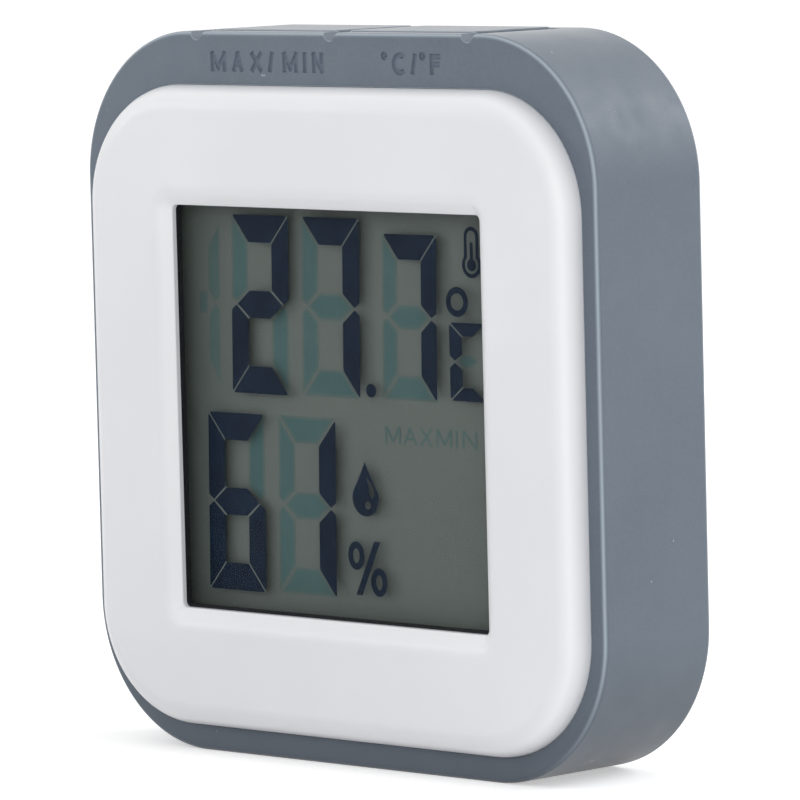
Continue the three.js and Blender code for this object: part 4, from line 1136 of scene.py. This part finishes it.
def case_screw(side, place, head_rear):
    """A pan-head screw with a cross recess."""
    node_low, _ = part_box(f"case_screw_{side}")
    seat = head_rear - SCREW_HEAD_HEIGHT
    head = peg(place, SCREW_HEAD_RADIUS, seat, head_rear)
    soften(head, edges_at(head, "y", head_rear), SCREW_HEAD_CROWN, CROWN_SEGMENTS)
    shank = peg(place, SCREW_SHANK_RADIUS, node_low.y, seat + FIT)
    half_length, half_width = CROSS_LENGTH / 2, CROSS_WIDTH / 2
    arms = []
    for reach_x, reach_z in ((half_length, half_width), (half_width, half_length)):
        low = (place.x - reach_x, head_rear - CROSS_DEPTH, place.z - reach_z)
        high = (place.x + reach_x, head_rear + FIT, place.z + reach_z)
        arms.append(slab(low, high))
    body = cut(fuse(head, shank), *arms)
    finish_piece(f"screw_{side}", body, STEEL, "case", [f"case_screw_{side}"])


# Display

CRYSTAL = (FRONT_GLASS_HIGH.y + REAR_GLASS_LOW.y) / 2  # middle of the layer between the two glasses
REFLECTOR_FRONT = REFLECTOR_HIGH.y - FILM_THICKNESS
LARGE_DIGIT = (DIGIT_WIDTH, DIGIT_HEIGHT, DIGIT_BAR, DIGIT_POST)
TENTH_DIGIT = (TENTH_WIDTH, TENTH_HEIGHT, TENTH_BAR, TENTH_POST)
LEADING_DIGIT = (TENTH_WIDTH, TENTH_HEIGHT, TENTH_BAR, LEADING_POST)
UNIT_DIGIT = (UNIT_WIDTH, UNIT_HEIGHT, UNIT_BAR, UNIT_POST)
ALL_SEGMENTS = "abcdefg"

# Digits: left edge, base, size, the segments that are lit, those that stay faint, and the slant.
TEMPERATURE_BASE = 27.2 * MM
HUMIDITY_BASE = 11.13 * MM
DIGITS = [
    (-12.27 * MM, TEMPERATURE_BASE, LARGE_DIGIT, "abged"),
    (-4.33 * MM, TEMPERATURE_BASE, LARGE_DIGIT, "abc"),
    (4.62 * MM, TEMPERATURE_BASE + 0.1 * MM, TENTH_DIGIT, "abc"),
    (11.83 * MM, TEMPERATURE_BASE + 0.4 * MM, UNIT_DIGIT, "afed", "g", 0.0),
    (-15.5 * MM, HUMIDITY_BASE, LARGE_DIGIT, "afgecd"),
    (-7.52 * MM, HUMIDITY_BASE, LARGE_DIGIT, "bc"),
]
LEADING_ONE = (-19.55 * MM, TEMPERATURE_BASE + 0.5 * MM, LEADING_DIGIT, "", "bc")
SIGN_LOW = (-16.0 * MM, 33.5 * MM)
SIGN_HIGH = (-15.05 * MM, 35.2 * MM)

# Marks beside the digits.
POINT_PLACE = (3.15 * MM, 28.0 * MM)
POINT_RADIUS = 0.55 * MM
POINT_SEGMENTS = 24
DEGREE_RING = (12.75 * MM, 35.37 * MM)
DEGREE_RING_RADIUS = 1.18 * MM
DEGREE_RING_STROKE = 0.5 * MM
PERCENT_RINGS = ((1.04 * MM, 14.75 * MM), (3.52 * MM, 12.75 * MM))
PERCENT_RING_HALVES = (0.9 * MM, 1.14 * MM)
PERCENT_RING_STROKE = 0.54 * MM
PERCENT_SLASH = [(0.95, 11.62), (1.62, 11.62), (3.72, 15.98), (3.05, 15.98)]  # corners, in millimetres

# Thermometer: middle of its bulb, then radius of the bulb, half width of the stem, and top.
THERMOMETER = (14.42 * MM, 38.3 * MM)
THERMOMETER_CASE = (1.02 * MM, 0.78 * MM, 41.3 * MM)
THERMOMETER_COLUMN = (0.48 * MM, 0.16 * MM, 40.1 * MM)
THERMOMETER_WALL = 0.31 * MM

# Water drop, with two light marks in it: a crescent by its right flank and a dot low in its belly.
DROP_PLACE = (2.23 * MM, 19.4 * MM)
DROP_RADIUS = 1.45 * MM
DROP_TIP = 22.3 * MM
DROP_LEAVE = 20  # degrees above the middle of the belly, where the flanks begin
DROP_BEND = (0.42, 0.58)  # of the radius to each side, and of the way up to the tip
DROP_CRESCENT = [  # corners, in millimetres
    (2.37, 21.08),
    (3.08, 20.32),
    (3.22, 19.87),
    (3.08, 19.43),
    (2.86, 19.43),
    (2.61, 19.72),
    (2.61, 20.39),
]
DROP_DOT = (2.48 * MM, 18.85 * MM)
DROP_DOT_RADIUS = 0.34 * MM

# Faint words: each letter with the places of its left and right edge, in millimetres.
FAINT_WORDS = [
    ("M", 4.6, 6.3),
    ("A", 6.6, 8.1),
    ("X", 8.4, 9.8),
    ("M", 10.2, 11.9),
    ("I", 12.1, 12.7),
    ("N", 13.0, 14.6),
]
FAINT_WORDS_RISE = 23.7 * MM
FAINT_WORDS_HEIGHT = 1.6 * MM
FAINT_WORDS_STROKE = 0.22 * MM


def curve(start, bend, end, steps):
    """Points along a bend between two points, with both ends included."""
    start, bend, end = Vector(start), Vector(bend), Vector(end)
    for i in range(steps + 1):
        t = i / steps
        yield (1 - t) ** 2 * start + 2 * t * (1 - t) * bend + t * t * end


def round_corner(before, corner, after):
    """Points of a soft corner between two neighbours of a corner point."""
    corner = Vector(corner)
    start = corner + (Vector(before) - corner).normalized() * SEGMENT_CORNER
    end = corner + (Vector(after) - corner).normalized() * SEGMENT_CORNER
    return curve(start, corner, end, SEGMENT_CORNER_STEPS)


def in_metres(points):
    """Points that are given in millimetres."""
    return [(x * MM, z * MM) for x, z in points]


def figure_verts(bm, points):
    """Vertices in the crystal layer, from points across the bezel and above its lower edge."""
    front = CRYSTAL - FIGURE_THICKNESS / 2
    return [bm.verts.new((x, front, BEZEL_LOW.z + z)) for x, z in points]


def figure_face(bm, points, rounded=()):
    """A flat shape in the crystal layer, some of whose corners are rounded."""
    points = list(points)
    outline = []
    for i, point in enumerate(points):
        after = points[(i + 1) % len(points)]
        outline.extend(round_corner(points[i - 1], point, after) if i in rounded else [point])
    return bm.faces.new(figure_verts(bm, outline))


def holed_face(bm, outlines):
    """A flat shape in the crystal layer inside the first outline and outside the others."""
    edges = []
    for points in outlines:
        verts = figure_verts(bm, points)
        edges += [bm.edges.new((verts[i - 1], verts[i])) for i in range(len(verts))]
    bmesh.ops.triangle_fill(bm, edges=edges, use_beauty=True, normal=(0, -1, 0))


def arc(centre, radius, from_angle, to_angle, steps=SMALL_SEGMENTS):
    """Points along an arc, with angles in degrees and both ends included."""
    for i in range(steps + 1):
        angle = math.radians(from_angle + (to_angle - from_angle) * i / steps)
        yield centre[0] + radius * math.cos(angle), centre[1] + radius * math.sin(angle)


def oval(centre, half_width, half_height, steps=SMALL_SEGMENTS):
    """Points round an upright oval."""
    for x, z in list(arc((0, 0), 1, 0, 360, steps))[1:]:
        yield centre[0] + x * half_width, centre[1] + z * half_height


def ring_face(bm, centre, half_width, half_height, stroke_width):
    """An oval ring in the crystal layer."""
    holed_face(bm, [oval(centre, half_width - thick, half_height - thick) for thick in (0, stroke_width)])


def digit_shapes(width, height, bar, post):
    """The seven segments of a digit from its lower left: outlines, each with the corners that are rounded."""
    gap = SEGMENT_GAP
    middle = height / 2
    reach = post + CENTRE_SETBACK
    half = bar / 2
    top = [
        (gap, height),
        (width - gap, height),
        (width - post - gap, height - bar),
        (post + gap, height - bar),
    ]
    upper_right = [
        (width, height - gap),
        (width - post, height - bar - gap),
        (width - post, middle + half + gap),
        (width - POST_TIP, middle + gap),
        (width, middle + POST_SHOULDER),
    ]
    centre = [
        (CENTRE_NOSE, middle),
        (reach, middle + half),
        (width - reach, middle + half),
        (width - CENTRE_NOSE, middle),
        (width - reach, middle - half),
        (reach, middle - half),
    ]
    return {
        "a": (top, (0, 1)),
        "b": (upper_right, (0,)),
        "c": ([(x, height - z) for x, z in upper_right], (0,)),
        "d": ([(x, height - z) for x, z in top], (0, 1)),
        "e": ([(width - x, height - z) for x, z in upper_right], (0,)),
        "f": ([(width - x, z) for x, z in upper_right], (0,)),
        "g": (centre, ()),
    }


# Neighbouring segments, each with the numbers of the two corners that face the other one.
SEGMENT_JOINTS = [
    ("a", (2, 1), "b", (0, 1)),
    ("a", (3, 0), "f", (0, 1)),
    ("d", (2, 1), "c", (0, 1)),
    ("d", (3, 0), "e", (0, 1)),
    ("g", (2, 3), "b", (3, 2)),
    ("g", (4, 3), "c", (3, 2)),
    ("g", (1, 0), "f", (3, 2)),
    ("g", (5, 0), "e", (3, 2)),
]


def faint_face(faint_sheets, points):
    """A switched-off figure, which each sheet draws a little smaller than the sheet behind it."""
    for number, sheet in enumerate(faint_sheets):
        face = figure_face(sheet, points)
        face.normal_update()
        if number:
            inset = number * FAINT_EDGE
            rim = bmesh.ops.inset_individual(sheet, faces=[face], thickness=inset, use_even_offset=True)
            bmesh.ops.delete(sheet, geom=rim["faces"], context="FACES")


def digit(sheets, left, bottom, size, lit, faint=ALL_SEGMENTS, slant=DIGIT_SLANT):
    """One digit: lit segments, faint ones, and where two lit ones meet a line of reflector colour in the
    crystal layer, as painted light.
    """
    lit_sheet, faint_sheets, line_sheet = sheets
    height = size[1]
    outlines = {}
    for name, (shape, rounded) in digit_shapes(*size).items():
        outlines[name] = [(left + x + (z - height / 2) * math.tan(slant), bottom + z) for x, z in shape]
        if name in lit:
            figure_face(lit_sheet, outlines[name], rounded)
        elif name in faint:
            faint_face(faint_sheets, outlines[name])
    # painted light: reflector-coloured strips in front of the segments' shadow
    for first, first_corners, second, second_corners in SEGMENT_JOINTS:
        if first in lit and second in lit:
            line = [outlines[first][i] for i in first_corners] + [outlines[second][i] for i in second_corners]
            figure_face(line_sheet, line)


def all_digits(lit, faint, lines):
    """The temperature, its unit and the humidity, with a leading digit and sign that lack the darkest tint,
    as painted light against the shade by the window's left wall.
    """
    for values in DIGITS:
        digit((lit, faint, lines), *values)
    # painted light: the leading digit and sign leave out the darkest tint
    lightened_tints = faint[:-1]
    digit((lit, lightened_tints, lines), *LEADING_ONE)
    (left, bottom), (right, top) = SIGN_LOW, SIGN_HIGH
    faint_face(lightened_tints, [(left, bottom), (right, bottom), (right, top), (left, top)])


def thermometer_points(bulb_radius, half_width, top):
    """Outline of a thermometer: a bulb with an upright stem whose top is round."""
    x, bulb_z = THERMOMETER
    meet = math.degrees(math.acos(half_width / bulb_radius))
    yield from arc((x, top - half_width), half_width, 0, 180, STEM_TOP_STEPS)
    yield from arc((x, bulb_z), bulb_radius, 180 - meet, 360 + meet)


def drop_points():
    """Outline of the water drop: a round belly that runs up to a tip in two hollow flanks."""
    x, z = DROP_PLACE
    tip = (x, DROP_TIP)
    belly = list(arc(DROP_PLACE, DROP_RADIUS, 180 - DROP_LEAVE, 360 + DROP_LEAVE))
    out, up = DROP_BEND[0] * DROP_RADIUS, z + DROP_BEND[1] * (DROP_TIP - z)
    right_flank = list(curve(belly[-1], (x + out, up), tip, DROP_FLANK_STEPS))
    left_flank = list(curve(tip, (x - out, up), belly[0], DROP_FLANK_STEPS))
    return belly + right_flank[1:] + left_flank[1:-1]


def marks(lit):
    """The decimal point, degree ring, thermometer, percent sign and water drop."""
    figure_face(lit, oval(POINT_PLACE, POINT_RADIUS, POINT_RADIUS, POINT_SEGMENTS))
    ring_face(lit, DEGREE_RING, DEGREE_RING_RADIUS, DEGREE_RING_RADIUS, DEGREE_RING_STROKE)
    inner_case = [size - THERMOMETER_WALL for size in THERMOMETER_CASE]
    holed_face(lit, [thermometer_points(*THERMOMETER_CASE), thermometer_points(*inner_case)])
    figure_face(lit, thermometer_points(*THERMOMETER_COLUMN))
    for centre in PERCENT_RINGS:
        ring_face(lit, centre, *PERCENT_RING_HALVES, PERCENT_RING_STROKE)
    figure_face(lit, in_metres(PERCENT_SLASH))
    dot = oval(DROP_DOT, DROP_DOT_RADIUS, DROP_DOT_RADIUS)
    holed_face(lit, [drop_points(), in_metres(DROP_CRESCENT), dot])


def faint_words(bm):
    """The faint words as flat strokes, each a little in front of the one before it."""
    for letter, left, right in FAINT_WORDS:
        box = (left * MM, right * MM, FAINT_WORDS_RISE, FAINT_WORDS_HEIGHT)
        for number, (start, end) in enumerate(letter_lines(letter, *box, FAINT_WORDS_STROKE)):
            first, last = Vector(start), Vector(end)
            along = (last - first).normalized() * FAINT_WORDS_STROKE / 2
            across = Vector((-along.y, along.x))
            face = figure_face(bm, [first + across, first - across, last - across, last + across])
            bmesh.ops.translate(bm, vec=(0, -number * LAYER_STEP, 0), verts=face.verts)


def display_figures():
    """All the figures: lit ones in the crystal layer, and faint ones as their shade on the reflector."""
    lit, lines, fringe, rim, core = (bmesh.new() for _ in range(5))
    faint = [fringe, rim, core]
    all_digits(lit, faint, lines)
    marks(lit)
    faint_words(rim)
    pieces = (
        ("lcd_lit_segments", lit, LIT_FIGURE),
        ("lcd_faint_fringes", fringe, FAINT_FRINGE),
        ("lcd_faint_rims", rim, FAINT_RIM),
        ("lcd_faint_segments", core, FAINT_FIGURE),
        # painted light: the gap lines keep the reflector's colour out of the segments' shadow
        ("lcd_gap_lines_painted_light", lines, REFLECTOR),
    )
    for name, bm, material in pieces:
        bm.normal_update()
        bmesh.ops.reverse_faces(bm, faces=[f for f in bm.faces if f.normal.y > 0])
        bmesh.ops.solidify(bm, geom=bm.faces[:], thickness=FIGURE_THICKNESS)
        if bm in faint:
            depth = REFLECTOR_FRONT - CRYSTAL - faint.index(bm) * LAYER_STEP
            bmesh.ops.translate(bm, vec=(FAINT_SHIFT, depth, 0), verts=bm.verts)
        bmesh.ops.recalc_face_normals(bm, faces=bm.faces)
        finish_piece(name, bm, material, "case")


def clear_display_sheet():
    """Polarizer and front glass, laminated into one clear sheet."""
    glass = slab(FRONT_GLASS_LOW, FRONT_GLASS_HIGH)
    film = slab(POLARIZER_LOW, (POLARIZER_HIGH.x, FRONT_GLASS_LOW.y + FIT / 2, POLARIZER_HIGH.z))
    nodes = ["lcd_front_polarizer", "lcd_front_glass"]
    finish_piece("lcd_front_sheet", fuse(glass, film), CLEAR_SHEET, "case", nodes)


def display_backing():
    """The reflector as the floor of a tray, inside which the rear glass is clear."""
    glass = slab(REAR_GLASS_LOW, (REAR_GLASS_HIGH.x, REFLECTOR_LOW.y + FIT / 4, REAR_GLASS_HIGH.z))
    plate = slab(REFLECTOR_LOW, REFLECTOR_HIGH)
    low, high = window_box(TRAY_MARGIN, REAR_GLASS_LOW.y - FIT, REFLECTOR_FRONT)
    low.z, high.z = REAR_GLASS_LOW.z + TRAY_RIM, REAR_GLASS_HIGH.z - TRAY_RIM
    body = cut(fuse(glass, plate), slab(low, high))
    nodes = ["lcd_rear_glass", "lcd_reflector"]
    finish_piece("lcd_backing", body, REFLECTOR, "case", nodes)


def foam_gasket():
    """The foam frame behind the bezel, whose lower bar stands a little into the window."""
    low, high = window_box(FIT, GASKET_LOW.y - FIT, GASKET_HIGH.y + FIT)
    low.z += FIT + GASKET_SHOW
    opening = slab(low, high, GASKET_CORNER, "y", GASKET_CORNER_SEGMENTS)
    body = cut(slab(GASKET_LOW, GASKET_HIGH), opening)
    finish_piece("window_gasket", body, FOAM, "case", ["dust_gasket"], edge=GASKET_EDGE)


# Finishes of the solids that stay as they are.
KEPT_NODES = {
    "stand_hinge_pin": STEEL,
    "lcd_holder": BLACK,
    "zebra_strip_upper": ZEBRA,
    "zebra_strip_lower": ZEBRA,
    "circuit_board": BOARD,
    "controller_blob": RESIN,
    "crystal_can": STEEL,
    "climate_sensor": CERAMIC,
    "max_min_switch_body": BLACK,
    "unit_switch_body": BLACK,
    "max_min_plunger": BLACK,
    "unit_plunger": BLACK,
    "coin_cell": STEEL,
    "cell_front_contact": STEEL,
    "cell_rim_contact": STEEL,
    "board_screw_left": STEEL,
    "board_screw_right": STEEL,
}


def dress_kept_nodes():
    """Give each solid that stays as it is its finish."""
    for name, material in KEPT_NODES.items():
        mesh = frame["nodes"][name].data
        mesh.materials.clear()
        mesh.materials.append(material)


# Stage

FLOOR_SIZE = 12.0
FLOOR_PALE = 0.8  # as the camera sees it
FLOOR_BOUNCE = 0.75  # what it throws back at the object
FLOOR_GLOW = 0.45
FLOOR_ROUGHNESS = 0.9
SEEN_ANYHOW = ("Is Camera Ray", "Is Glossy Ray", "Is Transmission Ray")


def light_path_level(nodes, links, path, low, high):
    """A value that is high for what the eye sees, also in gloss or glass, and low for all other rays."""
    sense = path.outputs[SEEN_ANYHOW[0]]
    for name in SEEN_ANYHOW[1:]:
        either = nodes.new("ShaderNodeMath")
        either.operation = "MAXIMUM"
        links.new(sense, either.inputs[0])
        links.new(path.outputs[name], either.inputs[1])
        sense = either.outputs[0]
    level = nodes.new("ShaderNodeMapRange")
    if isinstance(low, bpy.types.NodeSocket):
        links.new(low, level.inputs["To Min"])
    else:
        level.inputs["To Min"].default_value = low
    level.inputs["To Max"].default_value = high
    links.new(sense, level.inputs["Value"])
    return level.outputs["Result"]


def floor_material():
    """A pale floor that reads as white to the eye and in reflections, and keeps the object's shadow."""
    material = bpy.data.materials.new("pale_floor")
    material.use_nodes = True
    nodes, links = material.node_tree.nodes, material.node_tree.links
    shader = nodes["Principled BSDF"]
    shader.inputs["Roughness"].default_value = FLOOR_ROUGHNESS
    shader.inputs["Specular IOR Level"].default_value = 0.0
    shader.inputs["Emission Color"].default_value = (1.0, 1.0, 1.0, 1.0)
    path = nodes.new("ShaderNodeLightPath")
    tint = light_path_level(nodes, links, path, FLOOR_BOUNCE, FLOOR_PALE)
    links.new(tint, shader.inputs["Base Color"])
    glow = light_path_level(nodes, links, path, 0.0, FLOOR_GLOW)
    links.new(glow, shader.inputs["Emission Strength"])
    return material


def floor():
    """A flat floor under the object."""
    bm = bmesh.new()
    bmesh.ops.create_grid(bm, x_segments=1, y_segments=1, size=FLOOR_SIZE / 2)
    mesh = bpy.data.meshes.new("floor")
    bm.to_mesh(mesh)
    bm.free()
    mesh.materials.append(floor_material())
    plane = bpy.data.objects.new("floor", mesh)
    scene.collection.objects.link(plane)


SIDE_LIGHT = 0.42
OVERHEAD_LIGHT = 0.9


def world():
    """A pale room, brighter overhead, that the camera sees as white."""
    surroundings = bpy.data.worlds.new("room")
    surroundings.use_nodes = True
    nodes, links = surroundings.node_tree.nodes, surroundings.node_tree.links
    background = nodes["Background"]
    background.inputs["Color"].default_value = (1.0, 1.0, 1.0, 1.0)
    way = nodes.new("ShaderNodeSeparateXYZ")
    links.new(nodes.new("ShaderNodeTexCoord").outputs["Generated"], way.inputs["Vector"])
    dome = nodes.new("ShaderNodeMapRange")
    dome.inputs["To Min"].default_value = SIDE_LIGHT
    dome.inputs["To Max"].default_value = OVERHEAD_LIGHT
    links.new(way.outputs["Z"], dome.inputs["Value"])
    path = nodes.new("ShaderNodeLightPath")
    level = light_path_level(nodes, links, path, dome.outputs["Result"], 1.0)
    links.new(level, background.inputs["Strength"])
    scene.world = surroundings


# Soft boxes: place and side in metres, and power in watts. Each one faces the middle of the object.
SOFT_BOXES = {
    "left_window": ((-0.78, -0.5, 0.3), 0.25, 1.3),
    "front_fill": ((0.2, -0.95, 0.06), 0.7, 0.7),
    "right_fill": ((0.62, -0.68, 0.2), 0.5, 2.2),
    "behind": ((0.42, 0.6, 0.5), 0.4, 3.6),
}


def soft_boxes():
    """Square lamps round the object."""
    aim = (SLEEVE_LOW + SLEEVE_HIGH) / 2
    for name, (place, side, power) in SOFT_BOXES.items():
        light = bpy.data.lights.new(name, "AREA")
        light.shape = "SQUARE"
        light.size = side
        light.energy = power
        holder = bpy.data.objects.new(name, light)
        holder.location = place
        holder.rotation_euler = (aim - Vector(place)).to_track_quat("-Z", "Y").to_euler()
        scene.collection.objects.link(holder)


# Camera, fitted to the photograph's outline.
CAMERA_AZIMUTH = math.radians(44.126)
CAMERA_ELEVATION = math.radians(5.172)
CAMERA_ROLL = math.radians(-1.449)
CAMERA_DISTANCE = 532.64 * MM
CAMERA_AIM = Vector((6.856 * MM, SLEEVE_LOW.y, BEZEL_LOW.z + 27.474 * MM))  # middle of the picture
CAMERA_SENSOR = 36.0  # millimetres, as the lens
CAMERA_LENS = 304.9


def camera():
    """The camera, turned about its own line of sight by its roll."""
    back = Vector((
        math.sin(CAMERA_AZIMUTH) * math.cos(CAMERA_ELEVATION),
        -math.cos(CAMERA_AZIMUTH) * math.cos(CAMERA_ELEVATION),
        math.sin(CAMERA_ELEVATION),
    ))
    right = Vector((math.cos(CAMERA_AZIMUTH), math.sin(CAMERA_AZIMUTH), 0))
    up = back.cross(right)
    rolled_right = math.cos(CAMERA_ROLL) * right + math.sin(CAMERA_ROLL) * up
    rolled_up = math.cos(CAMERA_ROLL) * up - math.sin(CAMERA_ROLL) * right
    turn = Matrix((rolled_right, rolled_up, back)).transposed().to_4x4()
    data = bpy.data.cameras.new("camera")
    data.sensor_width = CAMERA_SENSOR
    data.lens = CAMERA_LENS
    eye = bpy.data.objects.new("camera", data)
    eye.matrix_world = Matrix.Translation(CAMERA_AIM + CAMERA_DISTANCE * back) @ turn
    scene.collection.objects.link(eye)
    scene.camera = eye


silicone_sleeve()
press_pad("max_min", -1, "max_min_key")
press_pad("unit", 1, "unit_key")
front_bezel()
rear_cover()
battery_door()
fold_out_stand()
for screw in list(screw_places()):
    case_screw(*screw)
foam_gasket()
clear_display_sheet()
display_backing()
display_figures()
dress_kept_nodes()
floor()
world()
soft_boxes()
camera()
scene.view_settings.view_transform = "Standard"
